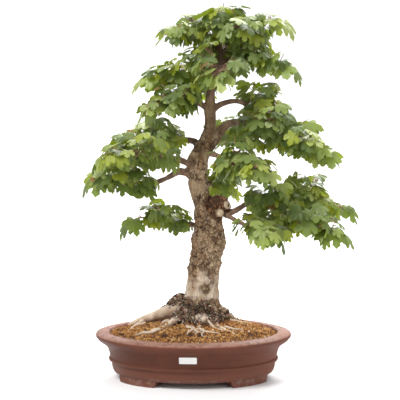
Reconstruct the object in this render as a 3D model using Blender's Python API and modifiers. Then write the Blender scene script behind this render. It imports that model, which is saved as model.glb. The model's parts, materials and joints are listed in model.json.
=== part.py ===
"""Field maple bonsai in its oval clay pot, at real size.

Metres, +Z up, seen from -Y in the usual view. The pot is laid out about its own centre with
its feet at height 0. The last step moves everything so that the origin lies under the
middle of the whole tree.
"""

import math
import random

import bmesh
import bpy
import numpy as np
from mathutils import Matrix, Vector, noise
from mathutils.bvhtree import BVHTree

# Clearance between pieces that touch
GAP = 0.0003
UP = Vector((0.0, 0.0, 1.0))

# Pot: an oval with the same wall section all round, as insets from the rim's outer edge
RIM_HALF_LENGTH = 0.195
RIM_HALF_DEPTH = 0.142
POT_SEGMENTS = 32
POT_OUTSIDE = (
    (0.0250, 0.0945),
    (0.0100, 0.0935),
    (0.0025, 0.0910),
    (0.0000, 0.0880),
    (0.0010, 0.0830),
    (0.0060, 0.0775),
    (0.0140, 0.0725),
    (0.0195, 0.0680),
    (0.0240, 0.0610),
    (0.0265, 0.0530),
    (0.0280, 0.0460),
    (0.0260, 0.0425),
    (0.0262, 0.0375),
    (0.0312, 0.0340),
    (0.0320, 0.0240),
    (0.0360, 0.0150),
    (0.0430, 0.0110),
)
POT_INSIDE = ((0.0520, 0.0200), (0.0450, 0.0230), (0.0380, 0.0560), (0.0290, 0.0880))
FOOT_INSET = 0.0385
FOOT_WIDTH = 0.022
FOOT_FROM, FOOT_TO = math.radians(21), math.radians(62)
FOOT_TOP = 0.0125
# Underside of a foot, as share of its length and height
FOOT_STEPS = ((0.00, 0.0095), (0.05, 0.0), (0.35, 0.0), (0.65, 0.0), (0.95, 0.0), (1.00, 0.0095))
DRAIN_X = 0.075
DRAIN_RADIUS = 0.012
DRAIN_SEGMENTS = 16

# Plastic screens on the pot's floor, over the drainage holes
SCREEN_SIDE = 0.040
SCREEN_THICKNESS = 0.0012
SCREEN_HOLES = 2
SCREEN_BAR = 0.003

# Soil: fills the pot and rises to the trunk
SOIL_EDGE = 0.0885
SOIL_RISE = 0.0215
SOIL_TOP_RINGS = (0.93, 0.68, 0.36)
SOIL_PEAK = Vector((0.020, 0.030, 0.0))
SOIL_LUMPS = 0.0016
SOIL_LUMP_PITCH = 60.0

# Blank price label on the front of the wall
LABEL_LEFT, LABEL_RIGHT = -0.0270, 0.0070
LABEL_LOW, LABEL_HIGH = 0.0535, 0.0675
LABEL_THICKNESS = 0.0003
LABEL_CORNER = 0.002

# Trunk: middle and radius of each level, from under the soil to the leader
TRUNK_SIDES = 11
TRUNK_LUMPS = 0.10
# Depth of the three flutes, below and above the top of the root flare
FLUTES_LOW, FLUTES_HIGH = 0.12, 0.06
FLARE_TOP = 0.17
TRUNK = (
    (0.024, 0.034, 0.070, 0.026),
    (0.024, 0.034, 0.095, 0.036),
    (0.021, 0.033, 0.118, 0.038),
    (0.015, 0.031, 0.145, 0.0365),
    (0.014, 0.029, 0.166, 0.0345),
    (0.018, 0.027, 0.205, 0.0315),
    (0.021, 0.028, 0.227, 0.0325),
    (0.028, 0.031, 0.264, 0.0335),
    (0.030, 0.032, 0.283, 0.0325),
    (0.031, 0.034, 0.302, 0.0300),
    (0.030, 0.036, 0.320, 0.0275),
    (0.023, 0.038, 0.340, 0.0230),
    (0.015, 0.040, 0.357, 0.0195),
    (0.011, 0.041, 0.376, 0.0200),
    (0.007, 0.042, 0.414, 0.0220),
    (0.011, 0.041, 0.437, 0.0220),
    (0.020, 0.039, 0.458, 0.0195),
    (0.029, 0.037, 0.480, 0.0145),
    (0.034, 0.035, 0.507, 0.0115),
    (0.033, 0.034, 0.533, 0.0115),
    (0.034, 0.033, 0.557, 0.0093),
    (0.036, 0.033, 0.581, 0.0076),
    (0.041, 0.034, 0.603, 0.0068),
    (0.051, 0.035, 0.622, 0.0064),
    (0.054, 0.034, 0.644, 0.0055),
    (0.049, 0.033, 0.664, 0.0050),
    (0.053, 0.032, 0.683, 0.0042),
    (0.061, 0.032, 0.702, 0.0030),
)
BURL_LUMPS = 0.22
BURLS = (
    (0.050, 0.026, 0.343, 0.021),
    (0.004, 0.020, 0.446, 0.011),
    (0.040, 0.010, 0.262, 0.016),
    (0.010, -0.002, 0.116, 0.014),
)
CUT_SCARS = (
    ((0.049, 0.012, 0.331), (0.052, -0.002, 0.331), 0.0065),
    ((0.061, 0.014, 0.344), (0.067, 0.004, 0.345), 0.0055),
    ((0.034, 0.012, 0.205), (0.036, -0.001, 0.205), 0.0030),
)

# A limb that starts thinner than this has four sides
THIN_LIMB = 0.0085

# Main branches: points and radii from inside the trunk to the tip
BRANCHES = {
    "low_right": (
        (0.040, 0.030, 0.326, 0.0120), (0.057, 0.024, 0.330, 0.0085), (0.075, 0.012, 0.330, 0.0072),
        (0.094, 0.004, 0.341, 0.0062), (0.110, 0.000, 0.351, 0.0058), (0.134, 0.000, 0.349, 0.0055),
        (0.151, -0.004, 0.351, 0.0050), (0.158, -0.010, 0.341, 0.0045), (0.173, -0.018, 0.328, 0.0040),
        (0.193, -0.026, 0.320, 0.0035), (0.220, -0.030, 0.310, 0.0028), (0.250, -0.034, 0.300, 0.0020),
    ),
    "low_right_back": (
        (0.149, -0.002, 0.350, 0.0042), (0.183, 0.022, 0.357, 0.0035), (0.215, 0.040, 0.356, 0.0030),
        (0.250, 0.052, 0.348, 0.0025), (0.284, 0.058, 0.338, 0.0018),
    ),
    "low_right_front": (
        (0.045, 0.030, 0.325, 0.0070), (0.069, 0.008, 0.323, 0.0050), (0.087, -0.025, 0.316, 0.0042),
        (0.104, -0.055, 0.312, 0.0034), (0.128, -0.080, 0.308, 0.0022),
    ),
    "low_left": (
        (0.020, 0.045, 0.290, 0.0090), (0.001, 0.067, 0.299, 0.0065), (-0.020, 0.080, 0.300, 0.0055),
        (-0.045, 0.088, 0.308, 0.0045), (-0.072, 0.090, 0.313, 0.0034), (-0.098, 0.088, 0.312, 0.0022),
    ),
    "left_wide": (
        (0.002, 0.038, 0.402, 0.0110), (-0.027, 0.030, 0.411, 0.0075), (-0.049, 0.026, 0.400, 0.0065),
        (-0.075, 0.020, 0.389, 0.0058), (-0.101, 0.012, 0.383, 0.0052), (-0.125, 0.004, 0.385, 0.0045),
        (-0.144, -0.004, 0.392, 0.0036), (-0.164, -0.010, 0.400, 0.0024),
    ),
    "left_front": (
        (0.004, 0.034, 0.418, 0.0090), (-0.015, 0.013, 0.430, 0.0070), (-0.035, -0.010, 0.438, 0.0060),
        (-0.058, -0.035, 0.441, 0.0050), (-0.082, -0.055, 0.446, 0.0040), (-0.106, -0.072, 0.450, 0.0030),
        (-0.124, -0.082, 0.452, 0.0020),
    ),
    "left_back": (
        (0.018, 0.044, 0.462, 0.0080), (-0.007, 0.062, 0.472, 0.0062), (-0.045, 0.082, 0.477, 0.0050),
        (-0.085, 0.096, 0.478, 0.0038), (-0.122, 0.104, 0.474, 0.0022),
    ),
    "left_upper": (
        (0.031, 0.034, 0.535, 0.0070), (0.009, 0.030, 0.547, 0.0052), (-0.015, 0.018, 0.553, 0.0045),
        (-0.040, 0.004, 0.546, 0.0036), (-0.062, -0.004, 0.542, 0.0022),
    ),
    "left_high": (
        (0.036, 0.033, 0.580, 0.0055), (0.006, 0.040, 0.597, 0.0042), (-0.028, 0.044, 0.602, 0.0033),
        (-0.060, 0.046, 0.604, 0.0020),
    ),
    "right_limb": (
        (0.016, 0.038, 0.446, 0.0150), (0.036, 0.028, 0.468, 0.0125), (0.050, 0.022, 0.486, 0.0105),
        (0.060, 0.016, 0.499, 0.0085), (0.076, 0.008, 0.509, 0.0070), (0.092, 0.000, 0.510, 0.0062),
        (0.105, -0.010, 0.505, 0.0056), (0.120, -0.020, 0.499, 0.0050), (0.140, -0.028, 0.492, 0.0042),
        (0.168, -0.032, 0.477, 0.0034), (0.200, -0.032, 0.465, 0.0028), (0.240, -0.032, 0.452, 0.0019),
    ),
    "right_limb_back": (
        (0.104, -0.009, 0.505, 0.0045), (0.125, 0.015, 0.512, 0.0040), (0.150, 0.040, 0.514, 0.0033),
        (0.180, 0.060, 0.508, 0.0020),
    ),
    "right_arch": (
        (0.034, 0.033, 0.530, 0.0080), (0.053, 0.028, 0.544, 0.0060), (0.079, 0.022, 0.551, 0.0050),
        (0.100, 0.018, 0.547, 0.0046), (0.116, 0.016, 0.535, 0.0042), (0.142, 0.014, 0.520, 0.0034),
        (0.172, 0.014, 0.506, 0.0027), (0.200, 0.014, 0.504, 0.0018),
    ),
    "right_front": (
        (0.022, 0.034, 0.450, 0.0080), (0.043, 0.010, 0.445, 0.0055), (0.055, -0.015, 0.441, 0.0045),
        (0.070, -0.045, 0.434, 0.0038), (0.088, -0.075, 0.428, 0.0030), (0.104, -0.098, 0.426, 0.0020),
    ),
    "right_high": (
        (0.051, 0.035, 0.622, 0.0050), (0.076, 0.026, 0.636, 0.0040), (0.106, 0.018, 0.639, 0.0034),
        (0.135, 0.014, 0.632, 0.0028), (0.160, 0.012, 0.626, 0.0018),
    ),
    "apex_left": (
        (0.050, 0.033, 0.660, 0.0042), (0.025, 0.026, 0.674, 0.0034), (-0.004, 0.020, 0.682, 0.0027),
        (-0.026, 0.016, 0.684, 0.0018),
    ),
    "apex_right": (
        (0.051, 0.033, 0.674, 0.0042), (0.082, 0.022, 0.676, 0.0034), (0.108, 0.012, 0.678, 0.0028),
        (0.122, 0.008, 0.687, 0.0022), (0.136, 0.006, 0.696, 0.0016),
    ),
    "back_low": (
        (0.013, 0.044, 0.366, 0.0100), (0.020, 0.080, 0.378, 0.0070), (0.034, 0.115, 0.380, 0.0052),
        (0.044, 0.150, 0.374, 0.0036), (0.050, 0.178, 0.368, 0.0022),
    ),
    "back_middle": (
        (0.022, 0.042, 0.468, 0.0080), (0.040, 0.078, 0.486, 0.0058), (0.062, 0.110, 0.492, 0.0042),
        (0.078, 0.140, 0.488, 0.0022),
    ),
    "back_high": (
        (0.036, 0.035, 0.563, 0.0060), (0.026, 0.068, 0.582, 0.0046), (0.018, 0.098, 0.588, 0.0034),
        (0.012, 0.120, 0.584, 0.0020),
    ),
    "front_high": (
        (0.040, 0.033, 0.598, 0.0050), (0.045, -0.005, 0.614, 0.0040), (0.050, -0.040, 0.618, 0.0030),
        (0.052, -0.070, 0.612, 0.0020),
    ),
    "apex_back": (
        (0.053, 0.034, 0.642, 0.0042), (0.060, 0.066, 0.655, 0.0032), (0.066, 0.092, 0.660, 0.0020),
    ),
}

# Roots over the soil's surface
SURFACE_ROOTS = (
    ((0.002, 0.033, 0.150, 0.0200), (-0.044, 0.030, 0.130, 0.0150), (-0.075, 0.036, 0.118, 0.0110),
     (-0.100, 0.044, 0.108, 0.0085), (-0.120, 0.050, 0.100, 0.0060), (-0.138, 0.050, 0.088, 0.0035)),
    ((-0.095, 0.043, 0.108, 0.0055), (-0.116, 0.028, 0.102, 0.0040), (-0.138, 0.012, 0.091, 0.0022)),
    ((-0.010, 0.018, 0.130, 0.0120), (-0.057, -0.022, 0.1090, 0.0055), (-0.078, -0.034, 0.1045, 0.0042),
     (-0.098, -0.044, 0.0960, 0.0022)),
    ((-0.006, 0.008, 0.128, 0.0100), (-0.016, -0.014, 0.1130, 0.0060), (0.000, -0.034, 0.1085, 0.0048),
     (0.001, -0.054, 0.1030, 0.0034), (0.003, -0.066, 0.0950, 0.0022)),
    ((0.020, 0.006, 0.126, 0.0100), (0.012, -0.024, 0.1110, 0.0060), (0.008, -0.048, 0.1050, 0.0042),
     (0.024, -0.070, 0.0990, 0.0030), (0.032, -0.082, 0.0900, 0.0020)),
    ((0.036, 0.010, 0.126, 0.0120), (0.044, -0.016, 0.1130, 0.0070), (0.058, -0.036, 0.1070, 0.0052),
     (0.078, -0.052, 0.1010, 0.0038), (0.096, -0.060, 0.0910, 0.0022)),
    ((0.048, 0.040, 0.128, 0.0150), (0.082, 0.052, 0.1120, 0.0095), (0.112, 0.056, 0.1010, 0.0060),
     (0.130, 0.056, 0.0880, 0.0035)),
    ((0.030, 0.056, 0.126, 0.0140), (0.042, 0.084, 0.1070, 0.0085), (0.052, 0.100, 0.0930, 0.0040)),
    ((0.004, 0.052, 0.126, 0.0130), (-0.036, 0.076, 0.1090, 0.0080), (-0.062, 0.086, 0.0930, 0.0040)),
)

# Main roots down in the soil
DEEP_ROOTS = (
    ((0.028, 0.030, 0.085, 0.0170), (0.082, 0.010, 0.062, 0.0100), (0.128, 0.004, 0.045, 0.0045)),
    ((0.018, 0.030, 0.085, 0.0170), (-0.050, 0.020, 0.062, 0.0105), (-0.120, 0.010, 0.045, 0.0045)),
    ((0.024, 0.030, 0.082, 0.0140), (0.030, -0.020, 0.060, 0.0085), (0.034, -0.066, 0.048, 0.0040)),
)

# Leafy sprays: the branch each grows on, where along it, and where its twig ends
SPRAYS = (
    ("trunk", 1.00, (0.068, 0.028, 0.722)),
    ("trunk", 0.965, (0.032, -0.004, 0.712)),
    ("apex_left", 1.00, (-0.046, 0.012, 0.683)),
    ("apex_left", 0.55, (0.000, 0.044, 0.712)),
    ("apex_right", 1.00, (0.156, 0.000, 0.706)),
    ("apex_right", 0.45, (0.098, -0.016, 0.694)),
    ("apex_right", 0.40, (0.096, 0.056, 0.700)),
    ("apex_back", 1.00, (0.070, 0.114, 0.662)),
    ("right_high", 1.00, (0.180, 0.008, 0.618)),
    ("right_high", 0.50, (0.112, 0.056, 0.652)),
    ("left_high", 1.00, (-0.084, 0.046, 0.598)),
    ("left_high", 0.62, (-0.042, 0.008, 0.614)),
    ("front_high", 1.00, (0.052, -0.092, 0.602)),
    ("front_high", 0.60, (0.014, -0.050, 0.632)),
    ("back_high", 1.00, (0.006, 0.144, 0.574)),
    ("left_upper", 1.00, (-0.086, -0.012, 0.534)),
    ("left_upper", 0.60, (-0.030, -0.032, 0.562)),
    ("right_arch", 1.00, (0.222, 0.014, 0.496)),
    ("right_arch", 0.75, (0.166, -0.020, 0.530)),
    ("right_arch", 0.55, (0.140, 0.044, 0.566)),
    ("right_limb", 1.00, (0.258, -0.034, 0.448)),
    ("right_limb", 0.84, (0.216, -0.062, 0.480)),
    ("right_limb", 0.62, (0.132, -0.058, 0.514)),
    ("right_limb_back", 1.00, (0.206, 0.070, 0.502)),
    ("right_limb_back", 0.55, (0.150, 0.072, 0.536)),
    ("left_front", 1.00, (-0.146, -0.092, 0.448)),
    ("left_front", 0.70, (-0.096, -0.098, 0.470)),
    ("left_back", 1.00, (-0.146, 0.108, 0.468)),
    ("left_back", 0.60, (-0.084, 0.066, 0.500)),
    ("left_wide", 1.00, (-0.186, -0.014, 0.400)),
    ("left_wide", 0.80, (-0.156, -0.042, 0.412)),
    ("left_wide", 0.72, (-0.142, 0.036, 0.414)),
    ("right_front", 1.00, (0.120, -0.122, 0.420)),
    ("right_front", 0.60, (0.092, -0.048, 0.456)),
    ("low_right", 1.00, (0.276, -0.040, 0.294)),
    ("low_right", 0.80, (0.224, -0.062, 0.330)),
    ("low_right", 0.50, (0.146, -0.036, 0.372)),
    ("low_right_back", 1.00, (0.306, 0.064, 0.330)),
    ("low_right_back", 0.55, (0.232, 0.026, 0.384)),
    ("low_right_front", 1.00, (0.150, -0.098, 0.302)),
    ("low_left", 1.00, (-0.120, 0.086, 0.304)),
    ("low_left", 0.65, (-0.076, 0.058, 0.334)),
    ("back_low", 1.00, (0.052, 0.202, 0.362)),
    ("back_low", 0.60, (0.072, 0.140, 0.398)),
    ("back_middle", 1.00, (0.086, 0.164, 0.482)),
)
TWIG_RADIUS, TWIG_TIP_RADIUS = 0.0017, 0.0011
TWIG_COLLAR = 0.005

# Leaves, in opposite pairs along a twig and one at its end; a side spray has the outer pair alone
LEAF_PAIRS = (0.90, 0.55)
OUTER_HANG, SIDE_HANG = 0.9, 0.25
PAIR_STAGGER = 0.0012
ROOT_OFFSET = 0.0004
LEAF_LENGTH = (0.030, 0.043)
PETIOLE_LENGTH = (0.012, 0.024)
PETIOLE_WIDTH = 0.0013
BLADE_THICKNESS = 0.0007
LEAF_ROLL = 0.9
LEAF_FORWARD = (0.2, 0.7)
LEAF_LOWEST = -0.3
LEAF_DROOP = (0.1, 0.5)
LEAF_TILT = 0.4
LEAF_ARCH = (0.02, 0.16)
LEAF_FOLD = (0.0, 0.22)
END_LEAF_SIZE = 1.08
LEAF_CLEARANCE = 0.0012
LEAF_TRIES = 60
# Half outline past the tip, as degrees from the midrib and share of the blade's length
FIVE_LOBES = ((21, 0.58), (43, 0.88), (66, 0.46), (98, 0.54))
THREE_LOBES = ((26, 0.56), (56, 0.84), (98, 0.36))
THREE_LOBED_SHARE = 0.5

BARK = ("bark", (0.20, 0.145, 0.10, 1.0), 0.85)
LEAF = ("leaf", (0.16, 0.30, 0.08, 1.0), 0.55)
CLAY = ("unglazed_clay", (0.23, 0.105, 0.07, 1.0), 0.75)
SOIL = ("soil_granules", (0.42, 0.24, 0.10, 1.0), 0.95)
PAPER = ("label_paper", (0.85, 0.85, 0.83, 1.0), 0.5)
PLASTIC = ("screen_plastic", (0.05, 0.05, 0.05, 1.0), 0.6)


def clear_scene():
    for obj in list(bpy.data.objects):
        bpy.data.objects.remove(obj, do_unlink=True)


def material(finish):
    name, colour, roughness = finish
    found = bpy.data.materials.get(name)
    if found:
        return found
    made = bpy.data.materials.new(name)
    made.use_nodes = True
    shader = made.node_tree.nodes["Principled BSDF"]
    shader.inputs["Base Color"].default_value = colour
    shader.inputs["Roughness"].default_value = roughness
    return made


def add_object(name, mesh, collection):
    obj = bpy.data.objects.new(name, mesh)
    collection.objects.link(obj)
    return obj


def mesh_of(name, points, faces):
    mesh = bpy.data.meshes.new(name)
    mesh.from_pydata([tuple(point) for point in points], [], faces)
    mesh.update()
    return mesh


def evaluated_mesh(obj):
    """The object's mesh after its modifiers, or its curve as a mesh, with loose caps welded on."""
    graph = bpy.context.evaluated_depsgraph_get()
    mesh = bpy.data.meshes.new_from_object(obj.evaluated_get(graph))
    work = bmesh.new()
    work.from_mesh(mesh)
    bmesh.ops.remove_doubles(work, verts=work.verts, dist=1e-6)
    work.to_mesh(mesh)
    work.free()
    return mesh


def ring_loft(name, rings, collection):
    """A closed body of triangles through rings of equal count, with a flat cap at each end."""
    count = len(rings[0])
    points = [point for ring in rings for point in ring]
    faces = [tuple(reversed(range(count))), tuple(range(len(points) - count, len(points)))]
    for level in range(len(rings) - 1):
        for k in range(count):
            low = level * count
            after = (k + 1) % count
            faces.append((low + k, low + after, low + count + after))
            faces.append((low + k, low + count + after, low + count + k))
    return add_object(name, mesh_of(name, points, faces), collection)


def tube(name, route, sides, collection, grow=0.0):
    """A tapered limb along (x, y, z, radius) points, as a mesh with flat ends."""
    curve = bpy.data.curves.new(name, "CURVE")
    curve.dimensions = "3D"
    curve.bevel_depth = 1.0
    curve.bevel_resolution = sides // 2 - 2
    curve.use_fill_caps = True
    spline = curve.splines.new("POLY")
    spline.points.add(len(route) - 1)
    end = Vector(route[-1][:3])
    beyond = (end - Vector(route[-2][:3])).normalized() * grow
    for point, (x, y, z, radius) in zip(spline.points, route):
        point.co = (x, y, z, 1.0)
        point.radius = radius + grow
    spline.points[-1].co = (*(end + beyond), 1.0)
    guide = add_object(name + "_curve", curve, collection)
    mesh = evaluated_mesh(guide)
    bpy.data.objects.remove(guide)
    return add_object(name, mesh, collection)


def limb(name, route, collection, grow=0.0):
    """A branch or root: six-sided, or four-sided where it is thin or buried."""
    thin = route[0][3] < THIN_LIMB or route in DEEP_ROOTS
    return tube(name, route, 4 if thin else 6, collection, grow)


def boolean(obj, others, operation, solver="EXACT"):
    """Applies one Boolean of the other objects on obj and removes them."""
    group = bpy.data.collections.new(obj.name + "_" + operation.lower())
    bpy.context.scene.collection.children.link(group)
    for other in others:
        for holder in list(other.users_collection):
            holder.objects.unlink(other)
        group.objects.link(other)
    modifier = obj.modifiers.new("Join", "BOOLEAN")
    modifier.operation = operation
    modifier.operand_type = "COLLECTION"
    modifier.collection = group
    modifier.solver = solver
    mesh = evaluated_mesh(obj)
    obj.modifiers.clear()
    obj.data = mesh
    for other in others:
        bpy.data.objects.remove(other)
    bpy.data.collections.remove(group)
    return obj


def finish(obj, look, smooth=True):
    obj.data.materials.clear()
    obj.data.materials.append(material(look))
    if smooth:
        obj.data.shade_smooth()
        obj.data.set_sharp_from_angle(angle=math.radians(40))
    return obj


# Pot


def oval(inset, height, segments=POT_SEGMENTS):
    ring = []
    for k in range(segments):
        angle = 2 * math.pi * k / segments
        x = (RIM_HALF_LENGTH - inset) * math.cos(angle)
        y = (RIM_HALF_DEPTH - inset) * math.sin(angle)
        ring.append((x, y, height))
    return ring


def foot(name, mirror_x, mirror_y, collection):
    """One foot: a curved block along the oval, with slanted ends and a flat sole."""
    points, faces = [], []
    for share, low in FOOT_STEPS:
        angle = FOOT_FROM + share * (FOOT_TO - FOOT_FROM)
        for inset in (FOOT_INSET, FOOT_INSET + FOOT_WIDTH):
            x = (RIM_HALF_LENGTH - inset) * math.cos(angle) * mirror_x
            y = (RIM_HALF_DEPTH - inset) * math.sin(angle) * mirror_y
            points += [(x, y, low), (x, y, FOOT_TOP)]
    for column in range(len(FOOT_STEPS) - 1):
        a = 4 * column
        b = a + 4
        faces += [(a, b, b + 1, a + 1), (a + 2, a + 3, b + 3, b + 2)]
        faces += [(a, a + 2, b + 2, b), (a + 1, b + 1, b + 3, a + 3)]
    last = 4 * (len(FOOT_STEPS) - 1)
    faces += [(0, 1, 3, 2), (last, last + 2, last + 3, last + 1)]
    made = add_object(name, mesh_of(name, points, faces), collection)
    work = bmesh.new()
    work.from_mesh(made.data)
    bmesh.ops.recalc_face_normals(work, faces=work.faces)
    work.to_mesh(made.data)
    work.free()
    return made


def drain_hole(name, x, collection):
    work = bmesh.new()
    bmesh.ops.create_cone(
        work,
        cap_ends=True,
        segments=DRAIN_SEGMENTS,
        radius1=DRAIN_RADIUS,
        radius2=DRAIN_RADIUS,
        depth=0.04,
    )
    bmesh.ops.translate(work, verts=work.verts, vec=(x, 0.0, 0.015))
    mesh = bpy.data.meshes.new(name)
    work.to_mesh(mesh)
    work.free()
    return add_object(name, mesh, collection)


def build_pot(collection):
    """The fired shell: lip, belt, wall, floor with two drainage holes, and four feet."""
    sections = list(reversed(POT_OUTSIDE)) + list(reversed(POT_INSIDE))
    rings = [oval(inset, height) for inset, height in sections]
    pot = ring_loft("pot", rings, collection)
    feet = [
        foot(f"foot_{side_x}_{side_y}", side_x, side_y, collection)
        for side_x in (-1, 1)
        for side_y in (-1, 1)
    ]
    boolean(pot, feet, "UNION")
    drains = [drain_hole(f"drain_{side}", side * DRAIN_X, collection) for side in (-1, 1)]
    boolean(pot, drains, "DIFFERENCE")
    return finish(pot, CLAY)


def box(name, low, high, collection):
    work = bmesh.new()
    bmesh.ops.create_cube(work, size=1.0)
    size = Vector(high) - Vector(low)
    middle = (Vector(high) + Vector(low)) / 2
    place = Matrix.Translation(middle) @ Matrix.Diagonal((*size, 1.0))
    bmesh.ops.transform(work, matrix=place, verts=work.verts)
    mesh = bpy.data.meshes.new(name)
    work.to_mesh(mesh)
    work.free()
    return add_object(name, mesh, collection)


def screen_corners(x, grow=0.0):
    floor = POT_INSIDE[0][1]
    half = SCREEN_SIDE / 2 + grow
    return (x - half, -half, floor + GAP - grow), (x + half, half, floor + GAP + SCREEN_THICKNESS + grow)


def build_screen(name, x, collection):
    """Square plastic mesh that keeps the soil in over one drainage hole."""
    low, high = screen_corners(x)
    screen = box(name, low, high, collection)
    pitch = (SCREEN_SIDE - SCREEN_BAR) / SCREEN_HOLES
    holes = []
    for i in range(SCREEN_HOLES):
        for j in range(SCREEN_HOLES):
            left = low[0] + SCREEN_BAR + i * pitch
            front = low[1] + SCREEN_BAR + j * pitch
            wide = pitch - SCREEN_BAR
            holes.append(box("hole", (left, front, 0.0), (left + wide, front + wide, 0.05), collection))
    boolean(screen, holes, "DIFFERENCE")
    return finish(screen, PLASTIC, smooth=False)


# Label


def wall_inset(height):
    """Inset of the wall's outside at a height between lip and belt."""
    for (inset_a, high), (inset_b, low) in zip(POT_OUTSIDE, POT_OUTSIDE[1:]):
        if low <= height <= high:
            return inset_a + (inset_b - inset_a) * (high - height) / (high - low)
    return 0.0


def build_label(collection):
    """A blank sticker that follows the wall."""
    columns, rows = 3, 2
    points, faces = [], []
    for j in range(rows + 1):
        for i in range(columns + 1):
            x = LABEL_LEFT + (LABEL_RIGHT - LABEL_LEFT) * i / columns
            z = LABEL_LOW + (LABEL_HIGH - LABEL_LOW) * j / rows
            if i in (0, columns) and j in (0, rows):
                x += LABEL_CORNER * (1 if i == 0 else -1) / 2
                z += LABEL_CORNER * (1 if j == 0 else -1) / 2
            inset = wall_inset(z) - GAP - LABEL_THICKNESS
            half_length = RIM_HALF_LENGTH - inset
            y = -(RIM_HALF_DEPTH - inset) * math.sqrt(1 - (x / half_length) ** 2)
            points.append((x, y, z))
    for j in range(rows):
        for i in range(columns):
            a = j * (columns + 1) + i
            b = a + columns + 1
            faces += [(a, a + 1, b + 1), (a, b + 1, b)]
    label = add_object("price_label", mesh_of("price_label", points, faces), collection)
    solidify = label.modifiers.new("Paper", "SOLIDIFY")
    solidify.thickness = LABEL_THICKNESS
    solidify.offset = -1.0
    return finish(label, PAPER, smooth=False)


# Trunk


def trunk_ring(x, y, z, radius, grow=0.0):
    """A fluted, lumpy cross-section, deepest near the root flare."""
    flute = FLUTES_LOW if z < FLARE_TOP else FLUTES_HIGH
    ring = []
    for k in range(TRUNK_SIDES):
        angle = 2 * math.pi * k / TRUNK_SIDES
        around = Vector((math.cos(angle), math.sin(angle), 0.0))
        lump = noise.noise(around * 1.3 + Vector((0.0, 0.0, z * 45.0)))
        share = 1.0 + flute * math.sin(3 * angle + 9.0 * z) + TRUNK_LUMPS * lump
        ring.append(Vector((x, y, z)) + around * (radius * share + grow))
    return ring


def burl(name, x, y, z, radius, collection, grow=0.0):
    work = bmesh.new()
    bmesh.ops.create_icosphere(work, subdivisions=1, radius=radius + grow)
    for vert in work.verts:
        vert.co *= 1.0 + BURL_LUMPS * noise.noise(vert.co * 90.0 + Vector((x, y, z)) * 50.0)
    bmesh.ops.translate(work, verts=work.verts, vec=(x, y, z))
    mesh = bpy.data.meshes.new(name)
    work.to_mesh(mesh)
    work.free()
    return add_object(name, mesh, collection)


def cut_scar(name, start, end, radius, collection):
    return tube(name, ((*start, radius * 1.15), (*end, radius)), 8, collection)


def build_trunk(collection):
    """Trunk, roots, burls and main branches, grown as one piece of wood."""
    trunk = ring_loft("trunk", [trunk_ring(*level) for level in TRUNK], collection)
    pieces = [limb(f"branch_{name}", route, collection) for name, route in BRANCHES.items()]
    roots = SURFACE_ROOTS + DEEP_ROOTS
    pieces += [limb(f"root_{k}", route, collection) for k, route in enumerate(roots)]
    pieces += [burl(f"burl_{k}", *place, collection) for k, place in enumerate(BURLS)]
    pieces += [cut_scar(f"scar_{k}", *place, collection) for k, place in enumerate(CUT_SCARS)]
    boolean(trunk, pieces, "UNION")
    return finish(trunk, BARK)


# Soil


def soil_height(x, y, share):
    lump = noise.noise(Vector((x, y, 0.0)) * SOIL_LUMP_PITCH)
    return SOIL_EDGE + SOIL_RISE * (1.0 - share * share) ** 0.85 + SOIL_LUMPS * lump


def build_soil(collection):
    """Granular soil, filling the pot and open where trunk and roots stand in it."""
    sides = [(inset + GAP, height + GAP) for inset, height in POT_INSIDE[:-1]]
    inset_a, low = POT_INSIDE[-2]
    inset_b, high = POT_INSIDE[-1]
    edge = inset_a + (inset_b - inset_a) * (SOIL_EDGE - low) / (high - low) + GAP
    rings = [oval(inset, height) for inset, height in sides + [(edge, SOIL_EDGE)]]
    for share in SOIL_TOP_RINGS:
        ring = []
        for x, y, _ in rings[len(sides)]:
            spot = Vector((x, y, 0.0)) * share + SOIL_PEAK * (1.0 - share)
            ring.append((spot.x, spot.y, soil_height(spot.x, spot.y, share)))
        rings.append(ring)
    soil = ring_loft("soil", rings, collection)
    clear = GAP + 0.0001
    levels = [trunk_ring(*level, clear) for level in TRUNK[:4]]
    levels[0] = [point - UP * clear for point in levels[0]]
    cutters = [ring_loft("cut_trunk", levels, collection)]
    for route in SURFACE_ROOTS + DEEP_ROOTS:
        cutters.append(limb("cut_root", route, collection, clear))
    cutters.append(burl("cut_burl", *BURLS[-1], collection, 2 * clear))
    for side in (-1, 1):
        low, high = screen_corners(side * DRAIN_X, GAP)
        cutters.append(box("cut_screen", low, high, collection))
    boolean(soil, cutters, "DIFFERENCE", "MANIFOLD")
    return finish(soil, SOIL)


# Leafy sprays


def route_of(branch):
    return TRUNK if branch == "trunk" else BRANCHES[branch]


def along_route(route, share):
    """Position, direction and radius at a share of the route's length."""
    points = [Vector(point[:3]) for point in route]
    lengths = [(b - a).length for a, b in zip(points, points[1:])]
    left = share * sum(lengths)
    for k, length in enumerate(lengths):
        if left <= length or k == len(lengths) - 1:
            part = min(left / length, 1.0)
            forward = (points[k + 1] - points[k]).normalized()
            radius = route[k][3] + (route[k + 1][3] - route[k][3]) * part
            return points[k].lerp(points[k + 1], part), forward, radius
        left -= length
    return points[-1], (points[-1] - points[-2]).normalized(), route[-1][3]


def seat_on_bark(bark, middle, outward, radius):
    """Where a side twig springs from the wood: just off its surface, and the way that faces."""
    above = middle + outward * (radius * 1.5 + TWIG_COLLAR)
    spot, facing, _, _ = bark.ray_cast(above, -outward)
    return spot + facing * GAP, facing


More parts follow.
